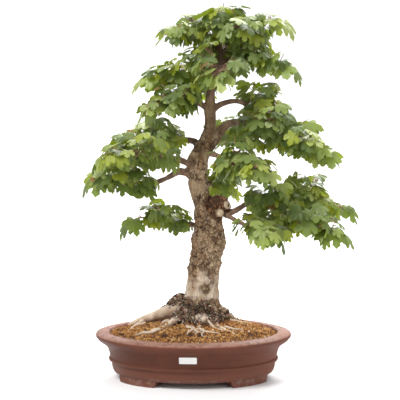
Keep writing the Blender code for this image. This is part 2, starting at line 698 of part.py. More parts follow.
def twig_route(bark, branch, share, tip):
    """The twig's points: it leaves its branch square on, then rises and levels out to its tip."""
    middle, forward, radius = along_route(route_of(branch), share)
    tip = Vector(tip)
    if share == 1.0:
        outward = UP if branch == "trunk" else forward
        base = middle + outward * GAP
    else:
        reach = tip - middle
        across = (reach - forward * reach.dot(forward)).normalized()
        base, outward = seat_on_bark(bark, middle, across, radius)
    collar = base + outward * TWIG_COLLAR
    halfway = collar.lerp(tip, 0.5) + Vector((0.0, 0.0, 0.004))
    thick = min(radius, TWIG_RADIUS)
    middling = (thick + TWIG_TIP_RADIUS) / 2
    return ((*base, thick), (*collar, thick), (*halfway, middling), (*tip, TWIG_TIP_RADIUS))


def leaf_sheet(root, seat, along, up, length, lobes, arch, fold):
    """Corners and triangles of one leaf as a thin sheet: its petiole strip and its lobed blade."""
    side = along.cross(up).normalized()
    up = side.cross(along)
    stalk_side = (seat - root).cross(up).normalized() * PETIOLE_WIDTH / 2
    half = side * PETIOLE_WIDTH / 2
    tip = seat + length * (along - up * arch)
    corners = [root - stalk_side, root + stalk_side, seat - half, seat + half, tip]
    for sign in (-1, 1):
        for degrees, share in lobes:
            angle = math.radians(degrees)
            forward = share * math.cos(angle)
            across = share * math.sin(angle)
            lift = fold * across - arch * share * share
            corners.append(seat + length * (along * forward + side * (sign * across) + up * lift))
    count = len(lobes)
    left, right = 5, 5 + count
    faces = [(0, 1, 3), (0, 3, 2), (2, 3, 4), (2, 4, left), (3, right, 4)]
    for k in range(count - 1):
        faces.append((2, left + k, left + k + 1))
        faces.append((3, right + k + 1, right + k))
    return corners, faces


def sheet_layers(corners, faces, distance):
    """The sheet's own triangles and copies that far to each side, to test what comes near it."""
    points = np.array([tuple(corner) for corner in corners])
    triangles = np.array(faces)
    a, b, c = (points[triangles[:, k]] for k in range(3))
    normals = np.cross(b - a, c - a)
    at_corner = np.zeros_like(points)
    for k in range(3):
        np.add.at(at_corner, triangles[:, k], normals)
    at_corner /= np.linalg.norm(at_corner, axis=1)[:, None]
    shells = [points, points + at_corner * distance, points - at_corner * distance]
    count = len(points)
    layers = np.concatenate([triangles + count * k for k in range(3)])
    return BVHTree.FromPolygons(np.concatenate(shells).tolist(), layers.tolist())


def limb_shell(route, grow):
    """A plain six-sided sleeve round a limb, that much outside its surface."""
    points, faces = [], []
    spots = [Vector(point[:3]) for point in route]
    for k, spot in enumerate(spots):
        ahead = (spots[min(k + 1, len(spots) - 1)] - spots[max(k - 1, 0)]).normalized()
        across = ahead.orthogonal().normalized()
        other = ahead.cross(across)
        radius = route[k][3] + grow
        for step in range(6):
            angle = math.pi * step / 3
            points.append(spot + (across * math.cos(angle) + other * math.sin(angle)) * radius)
    for k in range(len(spots) - 1):
        for step in range(6):
            a, b = 6 * k + step, 6 * k + (step + 1) % 6
            faces.append((a, b, b + 6, a + 6))
    return points, faces


def shells_tree(shells):
    """One search tree of several shells."""
    points, faces = [], []
    for corners, polygons in shells:
        shift = len(points)
        points += [tuple(corner) for corner in corners]
        faces += [tuple(k + shift for k in polygon) for polygon in polygons]
    return BVHTree.FromPolygons(points, faces)


def surface_of(obj):
    mesh = obj.data
    corners = [tuple(vert.co) for vert in mesh.vertices]
    return BVHTree.FromPolygons(corners, [tuple(face.vertices) for face in mesh.polygons])


def free_part(corners, faces):
    """The blade and the outer part of the petiole, which nothing may touch."""
    root = [corners[0].lerp(corners[2], 0.4), corners[1].lerp(corners[3], 0.4)]
    return root + list(corners[2:]), faces


def leaf_positions(route, pairs):
    """Where a twig bears leaves, and to which side: +1, -1, or 0 for the one at its end."""
    spot, forward, _ = along_route(route, 1.0)
    places = [(spot - forward * PAIR_STAGGER, forward, 0)]
    for share in pairs:
        spot, forward, _ = along_route(route, share)
        places += [(spot + forward * PAIR_STAGGER * side, forward, side) for side in (-1, 1)]
    return places


def draw_leaf(rng, spot, forward, side, hang):
    """One trial leaf: sideways or straight on from the twig, its blade arched and drooping."""
    level = forward.cross(UP).normalized()
    roll = rng.uniform(-LEAF_ROLL, LEAF_ROLL)
    sideways = level * math.cos(roll) * side + UP * math.sin(roll) * 0.6
    direction = sideways + forward * (rng.uniform(*LEAF_FORWARD) if side else 1.0)
    direction.z = max(direction.z, LEAF_LOWEST)
    direction.normalize()
    seat = spot + direction * rng.uniform(*PETIOLE_LENGTH)
    droop = rng.uniform(*LEAF_DROOP) + hang * rng.uniform(0.3, 1.0)
    along = (direction - UP * droop).normalized()
    tilt = Vector((rng.uniform(-LEAF_TILT, LEAF_TILT), rng.uniform(-LEAF_TILT, LEAF_TILT), 1.0))
    tilt += Vector((direction.x, direction.y, 0.0)) * LEAF_TILT
    length = rng.uniform(*LEAF_LENGTH) * (1.0 if side else END_LEAF_SIZE)
    lobes = THREE_LOBES if rng.random() < THREE_LOBED_SHARE else FIVE_LOBES
    arch, fold = rng.uniform(*LEAF_ARCH), rng.uniform(*LEAF_FOLD)
    root = spot + direction * ROOT_OFFSET
    return leaf_sheet(root, seat, along, tilt, length, lobes, arch, fold)


def place_leaves(bark):
    """For each spray its twig and the leaves that fit on it, clear of all wood and of each other."""
    twigs = [twig_route(bark, *spray) for spray in SPRAYS]
    limbs = [TRUNK, *BRANCHES.values(), *twigs]
    wood = shells_tree([limb_shell(route, LEAF_CLEARANCE) for route in limbs])
    taken = []
    sprays = []
    for number, twig in enumerate(twigs):
        rng = random.Random(1000 + number)
        outer = SPRAYS[number][1] == 1.0
        hang = OUTER_HANG if outer else SIDE_HANG
        leaves = []
        for spot, forward, side in leaf_positions(twig, LEAF_PAIRS if outer else LEAF_PAIRS[:1]):
            for _ in range(LEAF_TRIES):
                corners, faces = draw_leaf(rng, spot, forward, side, hang)
                tree = sheet_layers(*free_part(corners, faces), LEAF_CLEARANCE)
                if tree.overlap(wood):
                    continue
                middle, reach = corners[2], (corners[4] - corners[2]).length + 0.03
                if any((middle - m).length < reach + r and tree.overlap(t) for t, m, r in taken):
                    continue
                taken.append((tree, middle, reach))
                leaves.append((corners, faces))
                break
        sprays.append((twig, leaves))
    return sprays


def build_spray(name, twig, leaves, collection):
    """A twig and its leaves, fused as one living piece."""
    points, triangles = [], []
    for corners, faces in leaves:
        shift = len(points)
        points += corners
        triangles += [tuple(k + shift for k in face) for face in faces]
    sheets = add_object(name + "_leaves", mesh_of(name + "_leaves", points, triangles), collection)
    solidify = sheets.modifiers.new("Blade", "SOLIDIFY")
    solidify.thickness = BLADE_THICKNESS
    solidify.offset = 0.0
    blades = add_object(name + "_blades", evaluated_mesh(sheets), collection)
    bpy.data.objects.remove(sheets)
    spray = tube(name, twig, 4, collection)
    boolean(spray, [blades], "UNION", "MANIFOLD")
    return finish(spray, LEAF, smooth=False)


def centre_on_origin(objects):
    """Moves the finished parts so that the origin is under the middle of the whole."""
    graph = bpy.context.evaluated_depsgraph_get()
    corners = [Vector(corner) for obj in objects for corner in obj.evaluated_get(graph).bound_box]
    low = Vector([min(corner[k] for corner in corners) for k in range(3)])
    high = Vector([max(corner[k] for corner in corners) for k in range(3)])
    shift = Vector(((low.x + high.x) / 2, (low.y + high.y) / 2, low.z))
    for obj in objects:
        obj.location = -shift


def main():
    clear_scene()
    parts = bpy.data.collections.new("field_maple_bonsai")
    bpy.context.scene.collection.children.link(parts)
    build_pot(parts)
    build_screen("drain_screen_left", -DRAIN_X, parts)
    build_screen("drain_screen_right", DRAIN_X, parts)
    build_soil(parts)
    build_label(parts)
    trunk = build_trunk(parts)
    for number, (twig, leaves) in enumerate(place_leaves(surface_of(trunk)), start=1):
        build_spray(f"leafy_spray_{number:02d}", twig, leaves, parts)
    centre_on_origin(list(parts.objects))


main()
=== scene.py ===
"""Looks of a field maple bonsai in its oval clay pot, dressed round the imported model.

Metres, +Z up, seen from -Y in the usual view. Places are laid out from the middle of the pot,
with its feet at height 0, and moved to the model's own frame as each piece is made.
"""

import json
import math
import random

import bmesh
import bpy
import numpy as np
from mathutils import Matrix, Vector, noise
from mathutils.bvhtree import BVHTree
from mathutils.geometry import delaunay_2d_cdt
from mathutils.kdtree import KDTree

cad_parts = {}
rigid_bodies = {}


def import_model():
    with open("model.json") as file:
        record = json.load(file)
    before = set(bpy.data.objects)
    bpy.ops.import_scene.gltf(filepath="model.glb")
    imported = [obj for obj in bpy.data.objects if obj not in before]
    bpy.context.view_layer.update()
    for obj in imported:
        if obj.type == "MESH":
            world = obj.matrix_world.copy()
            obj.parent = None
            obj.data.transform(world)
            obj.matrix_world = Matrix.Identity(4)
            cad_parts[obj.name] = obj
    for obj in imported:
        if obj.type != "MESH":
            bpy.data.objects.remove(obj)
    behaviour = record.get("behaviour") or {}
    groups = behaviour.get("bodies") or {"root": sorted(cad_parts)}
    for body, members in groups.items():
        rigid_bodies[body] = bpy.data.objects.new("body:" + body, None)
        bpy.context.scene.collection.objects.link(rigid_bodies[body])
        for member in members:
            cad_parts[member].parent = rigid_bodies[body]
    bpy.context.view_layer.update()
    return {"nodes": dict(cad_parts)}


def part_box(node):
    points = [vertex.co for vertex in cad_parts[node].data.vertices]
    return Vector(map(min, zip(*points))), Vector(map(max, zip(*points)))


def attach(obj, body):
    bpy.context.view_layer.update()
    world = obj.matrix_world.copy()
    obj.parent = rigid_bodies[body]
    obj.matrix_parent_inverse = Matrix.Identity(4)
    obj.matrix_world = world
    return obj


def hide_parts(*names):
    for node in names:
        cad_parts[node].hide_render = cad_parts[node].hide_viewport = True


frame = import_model()


# Camera
# A long lens at table height, looking slightly down, as the tree was photographed.
# It is placed from the middle of the pot.

pot_low, pot_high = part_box("pot")
pot_middle = Vector(((pot_low.x + pot_high.x) / 2, (pot_low.y + pot_high.y) / 2, 0.0))
CAMERA_PLACE = Vector((0.013, -2.2, 0.5616))
CAMERA_PITCH = math.radians(90 - 5.335)
CAMERA_LENS = 100.5

camera_data = bpy.data.cameras.new("camera")
camera_data.lens = CAMERA_LENS
camera_data.sensor_width = 36
camera = bpy.data.objects.new("camera", camera_data)
camera.location = pot_middle + CAMERA_PLACE
camera.rotation_euler = (CAMERA_PITCH, 0.0, 0.0)
bpy.context.scene.collection.objects.link(camera)
bpy.context.scene.camera = camera


# Pot
# One pressed and fired shell of unglazed red-brown clay: a rolled lip, a wall that draws in to
# a raised belt, a lower band, and four low feet left where the base rim is cut away.
# Dust and a painted sheen lighten the upward faces of the lip, and hard water has left white marks round the
# base.

RIM_HALF_LENGTH = 0.195
RIM_HALF_DEPTH = 0.142
POT_SEGMENTS = 168
POT_CURVE_STEPS = 4
POT_OUTSIDE = (
    (0.0250, 0.0945),
    (0.0100, 0.0937),
    (0.0025, 0.0918),
    (0.0000, 0.0888),
    (0.0002, 0.0850),
    (0.0030, 0.0815),
    (0.0060, 0.0780),
    (0.0140, 0.0725),
    (0.0195, 0.0680),
    (0.0240, 0.0610),
    (0.0265, 0.0530),
    (0.0280, 0.0460),
    (0.0276, 0.0440),
    (0.0258, 0.0425),
    (0.0254, 0.0400),
    (0.0262, 0.0375),
    (0.0304, 0.0362),
    (0.0312, 0.0330),
    (0.0320, 0.0240),
    (0.0360, 0.0150),
    (0.0430, 0.0110),
)
POT_INSIDE = ((0.0520, 0.0200), (0.0450, 0.0230), (0.0380, 0.0560), (0.0290, 0.0880), (0.0262, 0.0935))
FOOT_INSET = 0.0385
FOOT_WIDTH = 0.022
FOOT_FROM, FOOT_TO = math.radians(21), math.radians(62)
FOOT_TOP = 0.0145
FOOT_END_HEIGHT = 0.0095
FOOT_SLANT = 0.05
FOOT_COLUMNS = 18
DRAIN_X = 0.075
DRAIN_RADIUS = 0.012
HAND_UNEVENNESS = 0.0005


def curve_through(points, steps):
    """Rows on a smooth curve through the given rows, with so many steps between two of them."""
    rows = np.array(points, float)
    padded = np.vstack([2 * rows[0] - rows[1], rows, 2 * rows[-1] - rows[-2]])
    made = []
    for k in range(1, len(padded) - 2):
        a, b, c, d = padded[k - 1 : k + 3]
        for step in range(steps):
            t = step / steps
            square, cube = 2 * a - 5 * b + 4 * c - d, 3 * b - a - 3 * c + d
            made.append(0.5 * (2 * b + (c - a) * t + square * t**2 + cube * t**3))
    made.append(rows[-1])
    return np.array(made)


def add_piece(name, points, faces, looks, smooth=True):
    """One shown piece from corners and faces about the pot's middle, riding on the model."""
    mesh = bpy.data.meshes.new(name)
    moved = np.array([tuple(point) for point in points]) + np.array(pot_middle)
    mesh.from_pydata(moved.tolist(), [], faces)
    mesh.update()
    for look in looks:
        mesh.materials.append(look)
    if smooth:
        mesh.shade_smooth()
    piece = bpy.data.objects.new(name, mesh)
    bpy.context.scene.collection.objects.link(piece)
    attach(piece, "root")
    return piece


def loft(rings):
    """Corners and faces of a closed body through rings of equal count, capped at both ends."""
    count = len(rings[0])
    points = [point for ring in rings for point in ring]
    faces = [tuple(reversed(range(count))), tuple(range(len(points) - count, len(points)))]
    for level in range(len(rings) - 1):
        low = level * count
        for k in range(count):
            after = (k + 1) % count
            faces.append((low + k, low + after, low + count + after, low + count + k))
    return points, faces


def put(tree, kind, inputs=None, **properties):
    """Adds one node, with its properties and the values of its inputs."""
    node = tree.nodes.new(kind)
    for key, value in properties.items():
        setattr(node, key, value)
    for key, value in (inputs or {}).items():
        node.inputs[key].default_value = value
    return node


def feed(tree, socket, value):
    """Sets a socket from another socket, a number or a colour."""
    if isinstance(value, bpy.types.NodeSocket):
        tree.links.new(value, socket)
    elif socket.type == "RGBA":
        socket.default_value = (*value, 1.0)
    else:
        socket.default_value = value


def mask_from(tree, effect, **inputs):
    """The mask of a shared effect, placed in a material with this material's own values."""
    node = tree.nodes.new("ShaderNodeGroup")
    node.node_tree = effect
    for key, value in inputs.items():
        feed(tree, node.inputs[key], value)
    return node.outputs["Mask"]


def mix_colour(tree, mask, below, above):
    """Colour below, covered by colour above where the mask is 1."""
    node = put(tree, "ShaderNodeMix", data_type="RGBA")
    for socket, value in ((node.inputs[0], mask), (node.inputs[6], below), (node.inputs[7], above)):
        feed(tree, socket, value)
    return node.outputs[2]


def multiply(tree, first, second):
    node = put(tree, "ShaderNodeMath", operation="MULTIPLY")
    for socket, value in zip(node.inputs, (first, second)):
        feed(tree, socket, value)
    return node.outputs[0]


def stain(tree, colour, mask, share, tone):
    """The colour with a tone over it where the mask is 1, no thicker than that share."""
    return mix_colour(tree, multiply(tree, mask, share), colour, tone)


def new_look(name, roughness):
    look = bpy.data.materials.new(name)
    look.use_nodes = True
    shader = look.node_tree.nodes["Principled BSDF"]
    shader.inputs["Roughness"].default_value = roughness
    return look, look.node_tree, shader


def new_effect(name, inputs, outputs):
    """An empty node group with these sockets, and its own input and output nodes."""
    group = bpy.data.node_groups.new(name, "ShaderNodeTree")
    for label, kind, value in inputs:
        socket = group.interface.new_socket(label, in_out="INPUT", socket_type=kind)
        socket.default_value = value
    for label, kind in outputs:
        group.interface.new_socket(label, in_out="OUTPUT", socket_type=kind)
    return group, group.nodes.new("NodeGroupInput"), group.nodes.new("NodeGroupOutput")


def make_mottle():
    """Soft-edged patches from noise, stretched along an axis where the grain runs."""
    inputs = (
        ("Scale", "NodeSocketFloat", 50.0),
        ("Stretch", "NodeSocketVector", (1.0, 1.0, 1.0)),
        ("Low", "NodeSocketFloat", 0.4),
        ("High", "NodeSocketFloat", 0.6),
    )
    group, start, end = new_effect("mottle", inputs, (("Mask", "NodeSocketFloat"),))
    place = put(group, "ShaderNodeTexCoord")
    scaled = put(group, "ShaderNodeVectorMath", operation="MULTIPLY")
    patches = put(group, "ShaderNodeTexNoise", {"Detail": 5.0, "Roughness": 0.6})
    edge = put(group, "ShaderNodeMapRange", interpolation_type="SMOOTHSTEP")
    group.links.new(place.outputs["Object"], scaled.inputs[0])
    group.links.new(start.outputs["Stretch"], scaled.inputs[1])
    group.links.new(scaled.outputs["Vector"], patches.inputs["Vector"])
    group.links.new(start.outputs["Scale"], patches.inputs["Scale"])
    group.links.new(patches.outputs["Fac"], edge.inputs["Value"])
    group.links.new(start.outputs["Low"], edge.inputs["From Min"])
    group.links.new(start.outputs["High"], edge.inputs["From Max"])
    group.links.new(edge.outputs["Result"], end.inputs["Mask"])
    return group


def make_height_fade():
    """A mask that rises from 0 at one height to 1 at another, which may be the lower one."""
    inputs = (("From", "NodeSocketFloat", 0.0), ("To", "NodeSocketFloat", 0.1))
    group, start, end = new_effect("height_fade", inputs, (("Mask", "NodeSocketFloat"),))
    place = put(group, "ShaderNodeTexCoord")
    split = put(group, "ShaderNodeSeparateXYZ")
    fade = put(group, "ShaderNodeMapRange", interpolation_type="SMOOTHSTEP")
    group.links.new(place.outputs["Object"], split.inputs[0])
    group.links.new(split.outputs["Z"], fade.inputs["Value"])
    group.links.new(start.outputs["From"], fade.inputs["From Min"])
    group.links.new(start.outputs["To"], fade.inputs["From Max"])
    group.links.new(fade.outputs["Result"], end.inputs["Mask"])
    return group


def make_crackle():
    """The dark gaps between the plates of a crackled crust, bent out of true by noise."""
    inputs = (
        ("Scale", "NodeSocketFloat", 150.0),
        ("Stretch", "NodeSocketVector", (1.0, 1.0, 0.6)),
        ("Width", "NodeSocketFloat", 0.15),
    )
    group, start, end = new_effect("crackle", inputs, (("Mask", "NodeSocketFloat"),))
    place = put(group, "ShaderNodeTexCoord")
    sway = put(group, "ShaderNodeTexNoise", {"Scale": 110.0, "Detail": 3.0})
    bent = put(group, "ShaderNodeVectorMath", {1: (0.010, 0.010, 0.010)}, operation="MULTIPLY_ADD")
    scaled = put(group, "ShaderNodeVectorMath", operation="MULTIPLY")
    plates = put(group, "ShaderNodeTexVoronoi", feature="DISTANCE_TO_EDGE")
    gaps = put(group, "ShaderNodeMapRange", {"To Min": 1.0, "To Max": 0.0}, interpolation_type="SMOOTHSTEP")
    group.links.new(place.outputs["Object"], sway.inputs["Vector"])
    group.links.new(sway.outputs["Color"], bent.inputs[0])
    group.links.new(place.outputs["Object"], bent.inputs[2])
    group.links.new(bent.outputs["Vector"], scaled.inputs[0])
    group.links.new(start.outputs["Stretch"], scaled.inputs[1])
    group.links.new(scaled.outputs["Vector"], plates.inputs["Vector"])
    group.links.new(start.outputs["Scale"], plates.inputs["Scale"])
    group.links.new(plates.outputs["Distance"], gaps.inputs["Value"])
    group.links.new(start.outputs["Width"], gaps.inputs["From Max"])
    group.links.new(gaps.outputs["Result"], end.inputs["Mask"])
    return group


mottle = make_mottle()
height_fade = make_height_fade()
crackle = make_crackle()


def grain_bump(tree, shader, scale, depth, stretch=(1.0, 1.0, 1.0)):
    """Fine surface grain, as bump."""
    grain = mask_from(tree, mottle, Scale=scale, Stretch=stretch, Low=0.25, High=0.75)
    bump = put(tree, "ShaderNodeBump", {"Strength": 1.0, "Distance": depth})
    tree.links.new(grain, bump.inputs["Height"])
    tree.links.new(bump.outputs["Normal"], shader.inputs["Normal"])
    return bump


def read_mask(tree, name):
    return put(tree, "ShaderNodeAttribute", attribute_name=name).outputs["Fac"]


def clay_look():
    look, tree, shader = new_look("unglazed_clay", 0.6)
    shader.inputs["Specular IOR Level"].default_value = 0.22
    broad = mask_from(tree, mottle, Scale=14.0, Low=0.35, High=0.68)
    colour = mix_colour(tree, broad, (0.090, 0.026, 0.013), (0.124, 0.039, 0.021))
    low_wall = mask_from(tree, height_fade, From=0.055, To=0.018)
    colour = stain(tree, colour, low_wall, 0.55, (0.175, 0.064, 0.040))
    specks = mask_from(tree, mottle, Scale=700.0, Low=0.60, High=0.70)
    colour = stain(tree, colour, specks, 0.35, (0.17, 0.07, 0.05))
    chips = mask_from(tree, mottle, Scale=210.0, Low=0.775, High=0.79)
    colour = mix_colour(tree, chips, colour, (0.60, 0.52, 0.47))
    # Dust and painted sheen: the upward faces of the lip are painted paler in patches, partly a dust film
    # and partly a painted highlight.
    dust_and_sheen = mask_from(tree, mottle, Scale=90.0, Low=0.22, High=0.60)
    dust_and_painted_sheen = multiply(tree, read_mask(tree, "lip"), dust_and_sheen)
    colour = stain(tree, colour, dust_and_painted_sheen, 0.65, (0.370, 0.200, 0.145))
    crust = mask_from(tree, mottle, Scale=330.0, Low=0.62, High=0.70)
    grime = multiply(tree, read_mask(tree, "lip"), crust)
    colour = stain(tree, colour, grime, 0.8, (0.060, 0.030, 0.020))
    base = mask_from(tree, height_fade, From=0.023, To=0.0135)
    marks = mask_from(tree, mottle, Scale=95.0, Low=0.42, High=0.78)
    limed = multiply(tree, base, marks)
    colour = stain(tree, colour, limed, 0.4, (0.38, 0.29, 0.25))
    tree.links.new(colour, shader.inputs["Base Color"])
    worn = put(tree, "ShaderNodeMapRange", {"To Min": 0.48, "To Max": 0.72})
    tree.links.new(broad, worn.inputs["Value"])
    tree.links.new(worn.outputs["Result"], shader.inputs["Roughness"])
    grain_bump(tree, shader, 1100.0, 0.00025)
    return look


def oval(inset, height):
    angles = 2 * np.pi * np.arange(POT_SEGMENTS) / POT_SEGMENTS
    x = (RIM_HALF_LENGTH - inset) * np.cos(angles)
    y = (RIM_HALF_DEPTH - inset) * np.sin(angles)
    return np.column_stack([x, y, np.full(POT_SEGMENTS, height)])


def foot_loft(side_x, side_y):
    """One foot along the oval, its two ends cut back at a slant."""
    rings = []
    for share in (0.0, *np.linspace(FOOT_SLANT, 1 - FOOT_SLANT, FOOT_COLUMNS), 1.0):
        angle = FOOT_FROM + share * (FOOT_TO - FOOT_FROM)
        low = FOOT_END_HEIGHT if share in (0.0, 1.0) else 0.0
        ring = []
        for inset, height in (
            (FOOT_INSET, low),
            (FOOT_INSET, FOOT_TOP),
            (FOOT_INSET + FOOT_WIDTH, FOOT_TOP),
            (FOOT_INSET + FOOT_WIDTH, low),
        ):
            x = (RIM_HALF_LENGTH - inset) * math.cos(angle) * side_x
            y = (RIM_HALF_DEPTH - inset) * math.sin(angle) * side_y
            ring.append((x, y, height))
        rings.append(ring if side_x * side_y > 0 else ring[::-1])
    return loft(rings)


def drain_cylinder(x):
    angles = 2 * np.pi * np.arange(32) / 32
    ring = np.column_stack([x + DRAIN_RADIUS * np.cos(angles), DRAIN_RADIUS * np.sin(angles), 0 * angles])
    return loft([ring, ring + (0.0, 0.0, 0.04)])


def fade(values, low, high):
    """A soft step from 0 to 1 between two values."""
    share = np.clip((values - low) / (high - low), 0, 1)
    return share * share * (3 - 2 * share)


def store(mesh, name, values):
    """Keeps one number per corner on the mesh, for its material to read."""
    attribute = mesh.attributes.new(name, "FLOAT", "POINT")
    attribute.data.foreach_set("value", np.asarray(values, np.float32))


def corners_of(mesh):
    """Corners of a mesh, about the pot's middle."""
    flat = np.empty(3 * len(mesh.vertices), np.float32)
    mesh.vertices.foreach_get("co", flat)
    return flat.reshape(-1, 3).astype(float) - np.array(pot_middle)


def normals_of(mesh):
    flat = np.empty(3 * len(mesh.vertices), np.float32)
    mesh.vertex_normals.foreach_get("vector", flat)
    return flat.reshape(-1, 3).astype(float)


def combine(piece, lofts, operation):
    """Joins or cuts a piece with closed bodies, and leaves no helper behind."""
    group = bpy.data.collections.new("helpers")
    bpy.context.scene.collection.children.link(group)
    for points, faces in lofts:
        helper = add_piece("helper", points, faces, [])
        bpy.context.scene.collection.objects.unlink(helper)
        group.objects.link(helper)
    modifier = piece.modifiers.new("Join", "BOOLEAN")
    modifier.operation = operation
    modifier.operand_type = "COLLECTION"
    modifier.collection = group
    graph = bpy.context.evaluated_depsgraph_get()
    mesh = bpy.data.meshes.new_from_object(piece.evaluated_get(graph))
    piece.modifiers.clear()
    piece.data = mesh
    for helper in list(group.objects):
        bpy.data.objects.remove(helper)
    bpy.data.collections.remove(group)


outside = curve_through(POT_OUTSIDE[::-1], POT_CURVE_STEPS)
inside = curve_through(POT_INSIDE[::-1], POT_CURVE_STEPS)[::-1]
pot_points, pot_faces = loft([oval(*row) for row in (*outside, *inside[::-1])])
pot_points = [
    point * (1 + HAND_UNEVENNESS * noise.noise(Vector(point) * 22) / 0.15) for point in pot_points
]
clay = clay_look()
pot = add_piece("pot_shell", pot_points, pot_faces, [clay])
combine(pot, [foot_loft(side_x, side_y) for side_x in (-1, 1) for side_y in (-1, 1)], "UNION")
combine(pot, [drain_cylinder(side * DRAIN_X) for side in (-1, 1)], "DIFFERENCE")
# Where the lip faces up. Its dust and painted sheen, and its dark crust, go there.
lip_facing = fade(normals_of(pot.data)[:, 2], 0.30, 0.85) * fade(corners_of(pot.data)[:, 2], 0.080, 0.088)
store(pot.data, "lip", lip_facing)
pot.data.shade_smooth()
pot.data.set_sharp_from_angle(angle=math.radians(38))
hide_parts("pot")


# Price label
# A small coated paper sticker with rounded corners, pressed on the front of the wall.
# It is left blank.

LABEL_LEFT, LABEL_RIGHT = -0.0270, 0.0070
LABEL_LOW, LABEL_HIGH = 0.0535, 0.0675
LABEL_THICKNESS = 0.00025
LABEL_LIFT = 0.0004
LABEL_CORNER = 0.0022


def wall_front(x, z):
    """Depth of the wall's outside at a place on the front."""
    rows = outside[outside[:, 1] < 0.085]
    inset = np.interp(z, rows[:, 1], rows[:, 0])
    half_length = RIM_HALF_LENGTH - inset
    return -(RIM_HALF_DEPTH - inset) * math.sqrt(1 - (x / half_length) ** 2)


def label_outline(share):
    """The sticker's rounded outline on the wall, shrunk towards its middle."""
    middle_x, middle_z = (LABEL_LEFT + LABEL_RIGHT) / 2, (LABEL_LOW + LABEL_HIGH) / 2
    half_x = (LABEL_RIGHT - LABEL_LEFT) / 2 - LABEL_CORNER
    half_z = (LABEL_HIGH - LABEL_LOW) / 2 - LABEL_CORNER
    ring = []
    for corner_x, corner_z, start in ((1, -1, -90), (1, 1, 0), (-1, 1, 90), (-1, -1, 180)):
        for step in range(7):
            angle = math.radians(start + 15 * step)
            x = corner_x * half_x + LABEL_CORNER * math.cos(angle)
            z = corner_z * half_z + LABEL_CORNER * math.sin(angle)
            ring.append((middle_x + x * share, middle_z + z * share))
    return ring


def paper_look():
    look, tree, shader = new_look("label_paper", 0.38)
    fibres = mask_from(tree, mottle, Scale=420.0, Low=0.3, High=0.75)
    colour = mix_colour(tree, fibres, (0.80, 0.79, 0.76), (0.88, 0.87, 0.85))
    tree.links.new(colour, shader.inputs["Base Color"])
    grain_bump(tree, shader, 900.0, 0.00004)
    return look


label_rings = []
for lift, shares in ((LABEL_LIFT, (0.3, 0.65, 1.0)), (LABEL_LIFT + LABEL_THICKNESS, (1.0, 0.65, 0.3))):
    for share in shares:
        label_rings.append([(x, wall_front(x, z) - lift, z) for x, z in label_outline(share)])
label_points, label_faces = loft(label_rings)
label = add_piece("price_label_paper", label_points, [face[::-1] for face in label_faces], [paper_look()])
label.data.set_sharp_from_angle(angle=math.radians(40))
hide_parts("price_label")


# Drainage screens
# Black plastic mesh, laid over each hole in the pot's floor before the soil goes in.


def screen_look():
    look, tree, shader = new_look("screen_plastic", 0.5)
    scuffs = mask_from(tree, mottle, Scale=260.0, Low=0.45, High=0.7)
    colour = mix_colour(tree, scuffs, (0.018, 0.018, 0.018), (0.06, 0.055, 0.05))
    tree.links.new(colour, shader.inputs["Base Color"])
    grain_bump(tree, shader, 500.0, 0.0001)
    return look


plastic = screen_look()
for name in ("drain_screen_left", "drain_screen_right"):
    frame["nodes"][name].data.materials.clear()
    frame["nodes"][name].data.materials.append(plastic)


# Trunk
# One living piece of wood: a gnarled trunk with corky, fissured bark, pale smooth patches,
# a red-brown knob with healed pruning cuts, bare pale roots over the soil, and branches.

TRUNK = (
    (0.024, 0.034, 0.070, 0.026),
    (0.024, 0.034, 0.095, 0.036),
    (0.021, 0.033, 0.118, 0.038),
    (0.015, 0.031, 0.145, 0.0365),
    (0.014, 0.029, 0.166, 0.0345),
    (0.018, 0.027, 0.205, 0.0315),
    (0.021, 0.028, 0.227, 0.0325),
    (0.028, 0.031, 0.264, 0.0335),
    (0.030, 0.032, 0.283, 0.0325),
    (0.031, 0.034, 0.302, 0.0300),
    (0.030, 0.036, 0.320, 0.0275),
    (0.023, 0.038, 0.340, 0.0230),
    (0.015, 0.040, 0.357, 0.0195),
    (0.011, 0.041, 0.376, 0.0200),
    (0.007, 0.042, 0.414, 0.0220),
    (0.011, 0.041, 0.437, 0.0220),
    (0.020, 0.039, 0.458, 0.0195),
    (0.029, 0.037, 0.480, 0.0145),
    (0.034, 0.035, 0.507, 0.0115),
    (0.033, 0.034, 0.533, 0.0115),
    (0.034, 0.033, 0.557, 0.0093),
    (0.036, 0.033, 0.581, 0.0076),
    (0.041, 0.034, 0.603, 0.0068),
    (0.051, 0.035, 0.622, 0.0064),
    (0.054, 0.034, 0.644, 0.0055),
    (0.049, 0.033, 0.664, 0.0050),
    (0.053, 0.032, 0.683, 0.0042),
    (0.061, 0.032, 0.702, 0.0030),
)
BURLS = (
    (0.050, 0.026, 0.343, 0.021),
    (0.004, 0.020, 0.446, 0.011),
    (0.040, 0.010, 0.262, 0.016),
    (0.010, -0.002, 0.116, 0.014),
)
CUT_SCARS = (
    ((0.049, 0.012, 0.331), (0.052, -0.002, 0.331), 0.0065),
    ((0.061, 0.014, 0.344), (0.067, 0.004, 0.345), 0.0055),
    ((0.034, 0.012, 0.205), (0.036, -0.001, 0.205), 0.0030),
)
